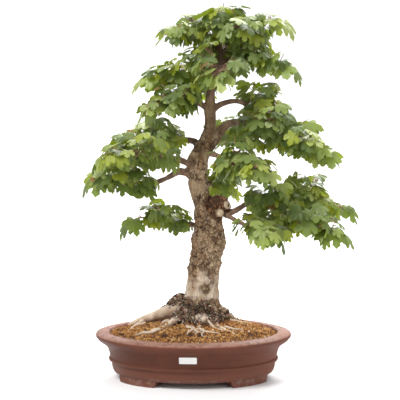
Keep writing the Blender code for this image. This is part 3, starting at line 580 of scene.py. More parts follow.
BRANCHES = {
    "low_right": (
        (0.040, 0.030, 0.326, 0.0120), (0.057, 0.024, 0.330, 0.0085), (0.075, 0.012, 0.330, 0.0072),
        (0.094, 0.004, 0.341, 0.0062), (0.110, 0.000, 0.351, 0.0058), (0.134, 0.000, 0.349, 0.0055),
        (0.151, -0.004, 0.351, 0.0050), (0.158, -0.010, 0.341, 0.0045), (0.173, -0.018, 0.328, 0.0040),
        (0.193, -0.026, 0.320, 0.0035), (0.220, -0.030, 0.310, 0.0028), (0.250, -0.034, 0.300, 0.0020),
    ),
    "low_right_back": (
        (0.149, -0.002, 0.350, 0.0042), (0.183, 0.022, 0.357, 0.0035), (0.215, 0.040, 0.356, 0.0030),
        (0.250, 0.052, 0.348, 0.0025), (0.284, 0.058, 0.338, 0.0018),
    ),
    "low_right_front": (
        (0.045, 0.030, 0.325, 0.0070), (0.069, 0.008, 0.323, 0.0050), (0.087, -0.025, 0.316, 0.0042),
        (0.104, -0.055, 0.312, 0.0034), (0.128, -0.080, 0.308, 0.0022),
    ),
    "low_left": (
        (0.020, 0.045, 0.290, 0.0090), (0.001, 0.067, 0.299, 0.0065), (-0.020, 0.080, 0.300, 0.0055),
        (-0.045, 0.088, 0.308, 0.0045), (-0.072, 0.090, 0.313, 0.0034), (-0.098, 0.088, 0.312, 0.0022),
    ),
    "left_wide": (
        (0.002, 0.038, 0.402, 0.0110), (-0.027, 0.030, 0.411, 0.0075), (-0.049, 0.026, 0.400, 0.0065),
        (-0.075, 0.020, 0.389, 0.0058), (-0.101, 0.012, 0.383, 0.0052), (-0.125, 0.004, 0.385, 0.0045),
        (-0.144, -0.004, 0.392, 0.0036), (-0.164, -0.010, 0.400, 0.0024),
    ),
    "left_front": (
        (0.004, 0.034, 0.418, 0.0090), (-0.015, 0.013, 0.430, 0.0070), (-0.035, -0.010, 0.438, 0.0060),
        (-0.058, -0.035, 0.441, 0.0050), (-0.082, -0.055, 0.446, 0.0040), (-0.106, -0.072, 0.450, 0.0030),
        (-0.124, -0.082, 0.452, 0.0020),
    ),
    "left_back": (
        (0.018, 0.044, 0.462, 0.0080), (-0.007, 0.062, 0.472, 0.0062), (-0.045, 0.082, 0.477, 0.0050),
        (-0.085, 0.096, 0.478, 0.0038), (-0.122, 0.104, 0.474, 0.0022),
    ),
    "left_upper": (
        (0.031, 0.034, 0.535, 0.0070), (0.009, 0.030, 0.547, 0.0052), (-0.015, 0.018, 0.553, 0.0045),
        (-0.040, 0.004, 0.546, 0.0036), (-0.062, -0.004, 0.542, 0.0022),
    ),
    "left_high": (
        (0.036, 0.033, 0.580, 0.0055), (0.006, 0.040, 0.597, 0.0042), (-0.028, 0.044, 0.602, 0.0033),
        (-0.060, 0.046, 0.604, 0.0020),
    ),
    "right_limb": (
        (0.016, 0.038, 0.446, 0.0150), (0.036, 0.028, 0.468, 0.0125), (0.050, 0.022, 0.486, 0.0105),
        (0.060, 0.016, 0.499, 0.0085), (0.076, 0.008, 0.509, 0.0070), (0.092, 0.000, 0.510, 0.0062),
        (0.105, -0.010, 0.505, 0.0056), (0.120, -0.020, 0.499, 0.0050), (0.140, -0.028, 0.492, 0.0042),
        (0.168, -0.032, 0.477, 0.0034), (0.200, -0.032, 0.465, 0.0028), (0.240, -0.032, 0.452, 0.0019),
    ),
    "right_limb_back": (
        (0.104, -0.009, 0.505, 0.0045), (0.125, 0.015, 0.512, 0.0040), (0.150, 0.040, 0.514, 0.0033),
        (0.180, 0.060, 0.508, 0.0020),
    ),
    "right_arch": (
        (0.034, 0.033, 0.530, 0.0080), (0.053, 0.028, 0.544, 0.0060), (0.079, 0.022, 0.551, 0.0050),
        (0.100, 0.018, 0.547, 0.0046), (0.116, 0.016, 0.535, 0.0042), (0.142, 0.014, 0.520, 0.0034),
        (0.172, 0.014, 0.506, 0.0027), (0.200, 0.014, 0.504, 0.0018),
    ),
    "right_front": (
        (0.022, 0.034, 0.450, 0.0080), (0.043, 0.010, 0.445, 0.0055), (0.055, -0.015, 0.441, 0.0045),
        (0.070, -0.045, 0.434, 0.0038), (0.088, -0.075, 0.428, 0.0030), (0.104, -0.098, 0.426, 0.0020),
    ),
    "right_high": (
        (0.051, 0.035, 0.622, 0.0050), (0.076, 0.026, 0.636, 0.0040), (0.106, 0.018, 0.639, 0.0034),
        (0.135, 0.014, 0.632, 0.0028), (0.160, 0.012, 0.626, 0.0018),
    ),
    "apex_left": (
        (0.050, 0.033, 0.660, 0.0042), (0.025, 0.026, 0.674, 0.0034), (-0.004, 0.020, 0.682, 0.0027),
        (-0.026, 0.016, 0.684, 0.0018),
    ),
    "apex_right": (
        (0.051, 0.033, 0.674, 0.0042), (0.082, 0.022, 0.676, 0.0034), (0.108, 0.012, 0.678, 0.0028),
        (0.122, 0.008, 0.687, 0.0022), (0.136, 0.006, 0.696, 0.0016),
    ),
    "back_low": (
        (0.013, 0.044, 0.366, 0.0100), (0.020, 0.080, 0.378, 0.0070), (0.034, 0.115, 0.380, 0.0052),
        (0.044, 0.150, 0.374, 0.0036), (0.050, 0.178, 0.368, 0.0022),
    ),
    "back_middle": (
        (0.022, 0.042, 0.468, 0.0080), (0.040, 0.078, 0.486, 0.0058), (0.062, 0.110, 0.492, 0.0042),
        (0.078, 0.140, 0.488, 0.0022),
    ),
    "back_high": (
        (0.036, 0.035, 0.563, 0.0060), (0.026, 0.068, 0.582, 0.0046), (0.018, 0.098, 0.588, 0.0034),
        (0.012, 0.120, 0.584, 0.0020),
    ),
    "front_high": (
        (0.040, 0.033, 0.598, 0.0050), (0.045, -0.005, 0.614, 0.0040), (0.050, -0.040, 0.618, 0.0030),
        (0.052, -0.070, 0.612, 0.0020),
    ),
    "apex_back": (
        (0.053, 0.034, 0.642, 0.0042), (0.060, 0.066, 0.655, 0.0032), (0.066, 0.092, 0.660, 0.0020),
    ),
}
SURFACE_ROOTS = (
    ((0.002, 0.033, 0.150, 0.0200), (-0.044, 0.030, 0.130, 0.0150), (-0.075, 0.036, 0.118, 0.0110),
     (-0.100, 0.044, 0.108, 0.0085), (-0.120, 0.050, 0.100, 0.0060), (-0.138, 0.050, 0.088, 0.0035)),
    ((-0.095, 0.043, 0.108, 0.0055), (-0.116, 0.028, 0.102, 0.0040), (-0.138, 0.012, 0.091, 0.0022)),
    ((-0.010, 0.018, 0.130, 0.0120), (-0.057, -0.022, 0.1090, 0.0055), (-0.078, -0.034, 0.1045, 0.0042),
     (-0.098, -0.044, 0.0960, 0.0022)),
    ((-0.006, 0.008, 0.128, 0.0100), (-0.016, -0.014, 0.1130, 0.0060), (0.000, -0.034, 0.1085, 0.0048),
     (0.001, -0.054, 0.1030, 0.0034), (0.003, -0.066, 0.0950, 0.0022)),
    ((0.020, 0.006, 0.126, 0.0100), (0.012, -0.024, 0.1110, 0.0060), (0.008, -0.048, 0.1050, 0.0042),
     (0.024, -0.070, 0.0990, 0.0030), (0.032, -0.082, 0.0900, 0.0020)),
    ((0.036, 0.010, 0.126, 0.0120), (0.044, -0.016, 0.1130, 0.0070), (0.058, -0.036, 0.1070, 0.0052),
     (0.078, -0.052, 0.1010, 0.0038), (0.096, -0.060, 0.0910, 0.0022)),
    ((0.048, 0.040, 0.128, 0.0150), (0.082, 0.052, 0.1120, 0.0095), (0.112, 0.056, 0.1010, 0.0060),
     (0.130, 0.056, 0.0880, 0.0035)),
    ((0.030, 0.056, 0.126, 0.0140), (0.042, 0.084, 0.1070, 0.0085), (0.052, 0.100, 0.0930, 0.0040)),
    ((0.004, 0.052, 0.126, 0.0130), (-0.036, 0.076, 0.1090, 0.0080), (-0.062, 0.086, 0.0930, 0.0040)),
)
DEEP_ROOTS = (
    ((0.028, 0.030, 0.085, 0.0170), (0.082, 0.010, 0.062, 0.0100), (0.128, 0.004, 0.045, 0.0045)),
    ((0.018, 0.030, 0.085, 0.0170), (-0.050, 0.020, 0.062, 0.0105), (-0.120, 0.010, 0.045, 0.0045)),
    ((0.024, 0.030, 0.082, 0.0140), (0.030, -0.020, 0.060, 0.0085), (0.034, -0.066, 0.048, 0.0040)),
)
TRUNK_SIDES = 56
BARK_VOXEL = 0.00155
SKIN_FROM_RADIUS = 0.0046
EDGE_LUMPS = (
    (0.046, 0.018, 0.2235, 0.0115), (0.042, 0.014, 0.2020, 0.0080), (0.050, 0.016, 0.2740, 0.0140),
    (0.000, 0.018, 0.1800, 0.0105), (-0.006, 0.024, 0.2150, 0.0080),
)
ROOT_KNOT = (0.021, -0.006, 0.116, 0.0115)
SLIM_ROOTS, SUNK_ROOTS = 0.72, 0.0022
BURIED_ROOT, DEEPER = 6, 0.0070
FRONT_PATCH = (0.026, -0.006, 0.180)
DEAD_STUBS = (
    ((0.104, 0.016, 0.540, 0.0019), (0.111, 0.015, 0.548, 0.0014), (0.118, 0.014, 0.557, 0.0008)),
    ((0.129, 0.000, 0.349, 0.0018), (0.133, -0.006, 0.361, 0.0013), (0.140, -0.008, 0.369, 0.0008)),
    ((-0.096, 0.014, 0.384, 0.0017), (-0.102, 0.006, 0.371, 0.0012), (-0.110, 0.004, 0.366, 0.0007)),
)
CRACKS = (
    ((0.0105, 0.0105, 0.0170), 0.0034, 1.0),
    ((0.0052, 0.0052, 0.0074), 0.0020, 0.85),
    ((0.0027, 0.0027, 0.0034), 0.0010, 0.6),
)
SWELL_DEPTH = 0.0030
STREAK_DEPTH, SMOOTH_DEPTH = 0.0007, 0.0016
GROWTH_DEPTH, KNOT_DEPTH = 0.0030, 0.0060
FULL_DEPTH_RADIUS = 0.018
KNOB_REACH, PATCH_REACH = 0.074, 0.046
CORK_BY_HEIGHT = (
    (0.100, 0.90), (0.150, 0.80), (0.165, 0.22), (0.200, 0.34), (0.218, 0.62), (0.235, 0.95),
    (0.300, 0.95), (0.325, 0.74), (0.345, 0.58), (0.385, 0.52), (0.400, 0.95), (0.416, 1.00),
    (0.428, 0.40), (0.450, 0.36), (0.460, 0.90), (0.472, 0.85), (0.488, 0.42), (0.520, 0.36), (0.720, 0.30),
)
FLARE_MIDDLE = (0.020, 0.030)
GROWTH_TOP = 0.156
BARE_ROOT_FROM = 0.056
GROWTH_MOUNDS = (
    (-0.027, 0.034, 0.147, 0.0140), (-0.042, 0.033, 0.140, 0.0110), (-0.057, 0.036, 0.133, 0.0075),
    (-0.024, 0.010, 0.122, 0.0130), (-0.040, 0.004, 0.114, 0.0105), (0.000, 0.000, 0.122, 0.0120),
    (0.042, 0.008, 0.118, 0.0105), (0.008, 0.058, 0.132, 0.0130), (0.034, 0.062, 0.130, 0.0120),
)


def tube(route, sides):
    """Corners and faces of a closed tapering tube along (x, y, z, radius) rows."""
    rows = np.array(route, float)
    ahead = np.gradient(rows[:, :3], axis=0)
    ahead /= np.linalg.norm(ahead, axis=1)[:, None]
    across = np.array(Vector(ahead[0]).orthogonal().normalized())
    angles = 2 * np.pi * np.arange(sides) / sides
    rings = []
    for (x, y, z, radius), forward in zip(rows, ahead):
        across = across - forward * np.dot(across, forward)
        across /= np.linalg.norm(across)
        other = np.cross(forward, across)
        circle = np.outer(np.cos(angles), across) + np.outer(np.sin(angles), other)
        rings.append(np.array((x, y, z)) + circle * radius)
    return loft(rings)


def trunk_ring(x, y, z, radius):
    """A fluted, lumpy cross-section, deepest near the root flare."""
    flute = 0.12 if z < 0.17 else 0.06
    ring = []
    for k in range(TRUNK_SIDES):
        angle = 2 * math.pi * k / TRUNK_SIDES
        around = Vector((math.cos(angle), math.sin(angle), 0.0))
        lump = noise.noise(around * 1.3 + Vector((0.0, 0.0, z * 45.0)))
        share = 1.0 + flute * math.sin(3 * angle + 9.0 * z) + 0.10 * lump
        ring.append(Vector((x, y, z)) + around * radius * share)
    return ring


def lump_ball(x, y, z, radius):
    """A burl: a ball pushed in and out by noise."""
    ball = bmesh.new()
    bmesh.ops.create_icosphere(ball, subdivisions=4, radius=radius)
    points = []
    for vert in ball.verts:
        swell = 1.0 + 0.30 * noise.noise(vert.co * 90.0 + Vector((x, y, z)) * 50.0)
        points.append(vert.co * swell + Vector((x, y, z)))
    faces = [tuple(vert.index for vert in face.verts) for face in ball.faces]
    ball.free()
    return points, faces


def put_together(bodies):
    """Corners and faces of several bodies as one list of each."""
    points, faces = [], []
    for corners, polygons in bodies:
        shift = len(points)
        points += [tuple(corner) for corner in corners]
        faces += [tuple(k + shift for k in polygon) for polygon in polygons]
    return points, faces


def cell_value(cells, seed):
    """A number from 0 to 1 for each whole-number cell, always the same for the same cell."""
    x, y, z = cells.T
    mixed = (x * 374761393 + y * 668265263 + z * 1103515245 + seed * 1442695041) & 0xFFFFFFFF
    mixed = ((mixed ^ (mixed >> 13)) * 1274126177) & 0xFFFFFFFF
    return ((mixed ^ (mixed >> 16)) & 0xFFFFFFFF) / 2**32


def lattice_noise(points, seed):
    """Smooth noise from 0 to 1 at each row, with a bump to each unit."""
    cell = np.floor(points).astype(np.int64)
    part = points - cell
    part = part * part * (3 - 2 * part)
    total = np.zeros(len(points))
    for corner in np.ndindex(2, 2, 2):
        total += cell_value(cell + corner, seed) * np.prod(np.where(corner, part, 1 - part), axis=1)
    return total


def plate_swell(points, seed):
    """0 in the gaps of a crackled crust of unit-sized plates, rising to 1 on each plate."""
    cell = np.floor(points).astype(np.int64)
    nearest = np.full(len(points), 9.0)
    second = np.full(len(points), 9.0)
    for step in np.ndindex(3, 3, 3):
        other = cell + np.array(step) - 1
        middle = other + np.column_stack([cell_value(other, seed + k) for k in range(3)])
        gap = np.linalg.norm(points - middle, axis=1)
        second = np.minimum(second, np.maximum(nearest, gap))
        nearest = np.minimum(nearest, gap)
    return fade(second - nearest, 0.0, 0.26)


def near(points, place, reach):
    """A soft spot: 1 at the place, falling to 0 at about that distance."""
    return np.exp(-np.sum((points - np.array(place)) ** 2, axis=1) / (0.42 * reach) ** 2)


def surface_roots():
    """The roots over the soil: the big one as packed, the rest a little slimmer past the flare."""
    first, *others = SURFACE_ROOTS
    made = [first]
    for number, route in enumerate(others, start=1):
        sunk = DEEPER if number == BURIED_ROOT else SUNK_ROOTS
        outer = [(x, y, z - sunk, radius * SLIM_ROOTS) for x, y, z, radius in route[1:]]
        made.append((route[0], *outer))
    return made


def fused_wood():
    """Trunk, roots, burls and the thick parts of the branches, run into one skin."""
    levels = curve_through(TRUNK, 4)
    bodies = [loft([trunk_ring(*level) for level in levels])]
    for route in BRANCHES.values():
        thick = [row for row in curve_through(route, 4) if row[3] > SKIN_FROM_RADIUS]
        if len(thick) > 1:
            bodies.append(tube(thick, 12))
    for route in surface_roots():
        bodies.append(tube(curve_through(route, 4), 14))
    bodies += [lump_ball(*lump) for lump in (*BURLS, *EDGE_LUMPS, *GROWTH_MOUNDS, ROOT_KNOT)]
    for start, end, radius in CUT_SCARS:
        bodies.append(tube(((*start, radius * 1.35), (*end, radius * 1.1)), 20))
    points, faces = put_together(bodies)
    piece = add_piece("trunk_wood", points, faces, [])
    remesh = piece.modifiers.new("Skin", "REMESH")
    remesh.mode = "VOXEL"
    remesh.voxel_size = BARK_VOXEL
    smooth = piece.modifiers.new("Soften", "SMOOTH")
    smooth.factor = 0.5
    smooth.iterations = 3
    graph = bpy.context.evaluated_depsgraph_get()
    mesh = bpy.data.meshes.new_from_object(piece.evaluated_get(graph))
    piece.modifiers.clear()
    piece.data = mesh
    return piece


def slender_wood():
    """The outer branches, dead stubs and the roots down in the soil, as tapering tubes."""
    bodies = []
    for route in BRANCHES.values():
        rows = curve_through(route, 5)
        inner = max(0, int(np.argmax(rows[:, 3] <= SKIN_FROM_RADIUS)) - 3)
        rows = rows[inner:]
        for row in rows[1:-1]:
            knots = noise.noise(Vector(row[:3]) * 260.0)
            row[:3] += np.array(noise.noise_vector(Vector(row[:3]) * 120.0)) * 0.0009
            row[3] *= 1.0 + 0.16 * knots
        bodies.append(tube(rows, 9))
    bodies += [tube(curve_through(stub, 3), 6) for stub in DEAD_STUBS]
    bodies += [tube(curve_through(route, 3), 10) for route in DEEP_ROOTS]
    points, faces = put_together(bodies)
    piece = add_piece("slender_wood", points, faces, [])
    for name, value in (("slender", 1.0), ("cork", 0.0), ("cracks", 0.0)):
        store(piece.data, name, np.full(len(points), value))
    return piece


def wood_thickness(points):
    """Radius of the limb whose surface each corner is on, and whether that limb is a root."""
    rows = []
    for kind, routes in ((0, (TRUNK, *BRANCHES.values())), (1, SURFACE_ROOTS)):
        for route in routes:
            rows += [(*row, kind) for row in curve_through(route, 4)]
    rows = np.array(rows)
    chosen = []
    for part in np.array_split(points, 40):
        outside_limb = np.linalg.norm(part[:, None] - rows[None, :, :3], axis=2) - rows[:, 3]
        chosen.append(np.argmin(outside_limb, axis=1))
    nearest = rows[np.concatenate(chosen)]
    return nearest[:, 3], nearest[:, 4]


def carve_bark(piece):
    """Pushes the skin in and out as bark, and notes what each corner is for the material."""
    mesh = piece.data
    points, normals = corners_of(mesh), normals_of(mesh)
    radius, root = wood_thickness(points)
    x, y, z = points.T
    broad, middling = lattice_noise(points * 30, 3), lattice_noise(points * 80, 4)
    patches = 0.48 * broad + 0.34 * middling + 0.18 * lattice_noise(points * 190, 6)
    knob = fade(near(points, BURLS[0][:3], KNOB_REACH), 0.25, 0.55)
    heights, cork_there = np.array(CORK_BY_HEIGHT).T
    cork = fade(np.interp(z, heights, cork_there) - patches, -0.16, 0.16)
    burl = fade(near(points, FRONT_PATCH, PATCH_REACH) + (patches - 0.5), 0.30, 0.70)
    cork = np.maximum.reduce([cork, knob, burl])
    from_trunk = np.hypot(x - FLARE_MIDDLE[0], y - FLARE_MIDDLE[1])
    bare = root * fade(from_trunk + 0.024 * (broad - 0.5), BARE_ROOT_FROM, BARE_ROOT_FROM + 0.012)
    left_face = root * fade(-x, 0.022, 0.036) * fade(0.35 * (middling - 0.5) - normals[:, 2], -0.55, -0.25)
    mound = np.zeros(len(points))
    for *place, size in GROWTH_MOUNDS:
        away = np.linalg.norm(points - np.array(place), axis=1)
        mound = np.maximum(mound, fade(-away, -size * 1.35, -size * 1.1))
    from_knot = np.linalg.norm(points - np.array(ROOT_KNOT[:3]), axis=1)
    knot = fade(-from_knot - 0.022 * (middling - 0.5), -0.0165, -0.0125)
    bare = np.maximum(np.maximum(bare, left_face) * (1 - mound), knot)
    growth_top = GROWTH_TOP - 0.10 * x - 0.9 * np.maximum(x - 0.018, 0)
    growth = fade(growth_top + 0.080 * (patches - 0.5) - z, 0.0, 0.006) * (1 - bare)
    mound *= 1 - knot
    growth = np.maximum(growth, mound)
    cork = np.maximum(cork * (1 - bare), 0.9 * knot)
    bends = [
        lattice_noise(points * 90, 40 + k) + 0.5 * lattice_noise(points * 230, 50 + k) for k in range(3)
    ]
    wander = points + 0.010 * (np.column_stack(bends) - 0.75)
    cracks = np.zeros(len(points))
    crack_depth = np.zeros(len(points))
    for seed, (size, deep, dark) in enumerate(CRACKS):
        gap = 1 - plate_swell(wander / np.array(size), 60 + 10 * seed)
        gap *= 0.35 + lattice_noise(points * 70, seed)
        cracks = np.maximum(cracks, gap * dark)
        crack_depth = np.maximum(crack_depth, gap * deep)
    swell = lattice_noise(points * 62, 7) + 0.5 * lattice_noise(points * 140, 8) - 0.75
    streaks = lattice_noise(points * np.array((320.0, 320.0, 55.0)), 9)
    depth = cork * (2 * SWELL_DEPTH * swell - crack_depth) * (1 + 0.8 * knob)
    depth += (1 - cork) * (STREAK_DEPTH * (streaks - 0.5) + SMOOTH_DEPTH * swell)
    depth += growth * GROWTH_DEPTH * (lattice_noise(points * 230, 17) - 0.5)
    depth += knot * KNOT_DEPTH * (lattice_noise(points * 130, 19) - 0.5)
    depth *= np.clip(np.maximum(radius, 0.03 * knob) / FULL_DEPTH_RADIUS, 0.12, 1.0)
    moved = points + np.array(pot_middle) + normals * depth[:, None]
    mesh.vertices.foreach_set("co", moved.astype(np.float32).ravel())
    mesh.update()
    scar = np.zeros(len(points))
    for _, end, size in CUT_SCARS:
        away = np.linalg.norm(points - np.array(end), axis=1)
        scar = np.maximum(scar, fade(-away, -size * 1.15, -size * 0.9))
    store(mesh, "cork", cork)
    store(mesh, "cracks", np.clip(cracks, 0, 1))
    store(mesh, "knob", knob)
    store(mesh, "scar", scar)
    store(mesh, "growth", growth)
    # Painted light: how far each corner faces up, so bare roots are painted paler on top and stay darker
    # beneath as painted shade.
    store(mesh, "top", fade(normals[:, 2], -0.1, 0.75))
    store(mesh, "bare", bare)
    store(mesh, "slender", fade(-radius, -0.0115, -0.0065) * (1 - root) * (1 - knob))


def bark_look():
    look, tree, shader = new_look("bark", 0.85)
    streaks = mask_from(tree, mottle, Scale=60.0, Stretch=(1.0, 1.0, 0.28), Low=0.33, High=0.66)
    blotches = mask_from(tree, mottle, Scale=48.0, Low=0.40, High=0.60)
    fine = mask_from(tree, mottle, Scale=420.0, Stretch=(1.0, 1.0, 0.5), Low=0.35, High=0.66)
    pores = mask_from(tree, mottle, Scale=260.0, Stretch=(1.0, 1.0, 0.6), Low=0.58, High=0.68)
    high = mask_from(tree, height_fade, From=0.44, To=0.53)
    smooth = mix_colour(tree, streaks, (0.360, 0.250, 0.155), (0.640, 0.520, 0.390))
    smooth = stain(tree, smooth, blotches, 0.6, (0.620, 0.540, 0.450))
    middle = mask_from(tree, height_fade, From=0.20, To=0.31)
    beige = mix_colour(tree, streaks, (0.190, 0.112, 0.054), (0.430, 0.305, 0.180))
    smooth = mix_colour(tree, middle, smooth, beige)
    brown = mix_colour(tree, streaks, (0.165, 0.090, 0.042), (0.350, 0.225, 0.125))
    smooth = mix_colour(tree, high, smooth, brown)
    smooth = stain(tree, smooth, pores, 0.6, (0.170, 0.095, 0.050))
    lines = mask_from(tree, mottle, Scale=210.0, Stretch=(1.0, 1.0, 0.2), Low=0.46, High=0.62)
    smooth = stain(tree, smooth, lines, 0.4, (0.190, 0.115, 0.065))
    plate = mix_colour(tree, fine, (0.350, 0.205, 0.092), (0.860, 0.690, 0.450))
    warm = mask_from(tree, mottle, Scale=26.0, Stretch=(1.0, 1.0, 0.5), Low=0.42, High=0.62)
    plate = stain(tree, plate, warm, 0.55, (0.350, 0.175, 0.068))
    grey = mask_from(tree, mottle, Scale=90.0, Stretch=(1.0, 1.0, 0.25), Low=0.50, High=0.66)
    plate = stain(tree, plate, grey, 0.5, (0.640, 0.550, 0.430))
    red = mix_colour(tree, fine, (0.210, 0.072, 0.024), (0.700, 0.370, 0.170))
    plate = mix_colour(tree, read_mask(tree, "knob"), plate, red)
    corky = stain(tree, plate, read_mask(tree, "cracks"), 0.8, (0.095, 0.042, 0.016))
    crevices = mask_from(tree, crackle, Scale=105.0, Stretch=(1.0, 1.0, 0.5), Width=0.16)
    chinks = mask_from(tree, crackle, Scale=260.0, Stretch=(1.0, 1.0, 0.6), Width=0.18)
    worn = mask_from(tree, mottle, Scale=55.0, Low=0.42, High=0.58)
    rough = put(tree, "ShaderNodeMath", operation="MAXIMUM")
    tree.links.new(worn, rough.inputs[0])
    tree.links.new(read_mask(tree, "knob"), rough.inputs[1])
    gaps = multiply(tree, crevices, rough.outputs[0])
    corky = stain(tree, corky, gaps, 0.95, (0.050, 0.019, 0.007))
    corky = stain(tree, corky, chinks, 0.45, (0.100, 0.043, 0.016))
    pitted = multiply(tree, chinks, read_mask(tree, "knob"))
    corky = stain(tree, corky, pitted, 0.7, (0.045, 0.016, 0.007))
    colour = mix_colour(tree, read_mask(tree, "cork"), smooth, corky)
    thin = mix_colour(tree, streaks, (0.120, 0.062, 0.040), (0.270, 0.170, 0.115))
    colour = stain(tree, colour, read_mask(tree, "slender"), 0.85, thin)
    root = mix_colour(tree, streaks, (0.420, 0.280, 0.180), (0.680, 0.540, 0.410))
    # Painted light: bare roots are painted paler where they face up.
    root = stain(tree, root, read_mask(tree, "top"), 0.6, (0.740, 0.630, 0.510))
    root = stain(tree, root, pores, 0.5, (0.180, 0.100, 0.060))
    root = stain(tree, root, blotches, 0.3, (0.330, 0.220, 0.140))
    root = stain(tree, root, chinks, 0.25, (0.200, 0.120, 0.070))
    knotted = multiply(tree, crevices, read_mask(tree, "cork"))
    root = stain(tree, root, knotted, 0.85, (0.070, 0.040, 0.025))
    colour = mix_colour(tree, read_mask(tree, "bare"), colour, root)
    litter = mix_colour(tree, fine, (0.020, 0.011, 0.007), (0.190, 0.105, 0.060))
    litter = stain(tree, litter, blotches, 0.4, (0.330, 0.215, 0.130))
    litter = stain(tree, litter, pores, 0.8, (0.620, 0.550, 0.460))
    colour = stain(tree, colour, read_mask(tree, "growth"), 0.92, litter)
    cut = mix_colour(tree, fine, (0.560, 0.400, 0.250), (0.780, 0.640, 0.460))
    colour = mix_colour(tree, read_mask(tree, "scar"), colour, cut)
    tree.links.new(colour, shader.inputs["Base Color"])
    grain = grain_bump(tree, shader, 520.0, 0.0008, (1.0, 1.0, 0.45))
    deep = put(tree, "ShaderNodeBump", {"Strength": 0.9, "Distance": 0.0018}, invert=True)
    tree.links.new(multiply(tree, gaps, read_mask(tree, "cork")), deep.inputs["Height"])
    tree.links.new(deep.outputs["Normal"], grain.inputs["Normal"])
    return look


wood = fused_wood()
carve_bark(wood)
bark = bark_look()
wood.data.materials.clear()
wood.data.materials.append(bark)
wood.data.shade_smooth()
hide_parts("trunk")
outer_wood = slender_wood()
outer_wood.data.materials.append(bark)
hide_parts("trunk")


# Growth at the root flare
# Lichen, dry moss, bark flakes and old leaf scraps caught where trunk and roots meet the soil:
# thousands of crumbs, grey, black, pale and red-brown.

CRUMBS = 2800
CRUMB_SIZE = (0.0009, 0.0028)
CRUMB_LIFT = 0.0006
CRUMB_TONES = (
    (0.00, (0.012, 0.007, 0.005)),
    (0.30, (0.032, 0.018, 0.011)),
    (0.50, (0.140, 0.070, 0.036)),
    (0.66, (0.340, 0.225, 0.135)),
    (0.78, (0.720, 0.650, 0.550)),
    (0.88, (0.300, 0.050, 0.036)),
    (0.97, (0.080, 0.100, 0.030)),
)


def small_lump_shape():
    lump = bmesh.new()
    bmesh.ops.create_icosphere(lump, subdivisions=1, radius=1.0)
    corners = np.array([tuple(vert.co) for vert in lump.verts])
    faces = np.array([[vert.index for vert in face.verts] for face in lump.faces])
    lump.free()
    return corners, faces


def scatter_lumps(name, places, sizes, tones, shape, look, rng):
    """One piece of many small angular lumps, each turned and misshapen at random."""
    corners, faces = small_lump_shape()
    count = len(places)
    spin = rng.normal(size=(count, 3, 3))
    turns, _ = np.linalg.qr(spin)
    squeeze = rng.uniform(0.6, 1.25, (count, 1, 3)) * np.array(shape)
    bumps = rng.uniform(0.72, 1.18, (count, len(corners), 1))
    shapes = (corners[None] * bumps * squeeze) @ turns * np.asarray(sizes)[:, None, None]
    points = (shapes + np.asarray(places)[:, None]).reshape(-1, 3)
    shifts = len(corners) * np.arange(count)
    polygons = (faces[None] + shifts[:, None, None]).reshape(-1, 3)
    piece = add_piece(name, points, polygons.tolist(), [look], smooth=False)
    store(piece.data, "tone", np.repeat(tones, len(corners)))
    return piece


def tone_ramp(tree, tones):
    """A colour for each piece's own tone, from 0 to 1, through the given (tone, colour) stops."""
    ramp = put(tree, "ShaderNodeValToRGB")
    stops = ramp.color_ramp.elements
    while len(stops) < len(tones):
        stops.new(0.5)
    for stop, (place, colour) in zip(stops, tones):
        stop.position = place
        stop.color = (*colour, 1.0)
    tree.links.new(read_mask(tree, "tone"), ramp.inputs["Fac"])
    return ramp.outputs["Color"]


def toned_look(name, tones, roughness, bump_scale, bump_depth):
    """A matt look whose colour is read from each lump's own tone."""
    look, tree, shader = new_look(name, roughness)
    colour = tone_ramp(tree, tones)
    dirt = mask_from(tree, mottle, Scale=bump_scale * 0.6, Low=0.3, High=0.75)
    colour = stain(tree, colour, dirt, 0.35, (0.05, 0.03, 0.02))
    tree.links.new(colour, shader.inputs["Base Color"])
    grain_bump(tree, shader, bump_scale, bump_depth)
    return look


def crumb_places(rng):
    """Spots on the bark round the root flare, thicker in patches."""
    points, normals = corners_of(wood.data), normals_of(wood.data)
    masks = np.empty(len(points), np.float32)
    wood.data.attributes["growth"].data.foreach_get("value", masks)
    bare = np.empty(len(points), np.float32)
    wood.data.attributes["bare"].data.foreach_get("value", bare)
    skirt = fade(-points[:, 2], -0.142, -0.124) * (1 - bare)
    masks = np.maximum(masks, 0.35 * skirt)
    above_soil = fade(points[:, 2], 0.096, 0.104)
    chance = masks * above_soil * (0.4 + fade(lattice_noise(points * 55, 31), 0.3, 0.6)) + 1e-12
    chosen = rng.choice(len(points), CRUMBS, replace=False, p=chance / chance.sum())
    return points[chosen] + normals[chosen] * CRUMB_LIFT


rng = np.random.default_rng(41)
crumb_spots = crumb_places(rng)
crumbs = scatter_lumps(
    "root_flare_growth",
    crumb_spots,
    rng.uniform(*CRUMB_SIZE, len(crumb_spots)),
    rng.uniform(0, 1, len(crumb_spots)),
    (1.7, 0.8, 0.4),
    toned_look("lichen_and_moss", CRUMB_TONES, 0.95, 900.0, 0.0003),
    rng,
)


# Healed pruning cuts
# Where branches were sawn off, a pale disc of dead wood is left inside a raised lip of callus.
# One of them is sunk hollow in the middle, and its centre is painted dark as shade.

CUT_RINGS = 9
CUT_SIDES = 28
CUT_LIP = ((1.22, -0.0030), (1.30, -0.0008), (1.22, 0.0014), (1.05, 0.0022), (0.94, 0.0012))
CUT_LIFT = 0.0018
HOLLOW_CUT = 1


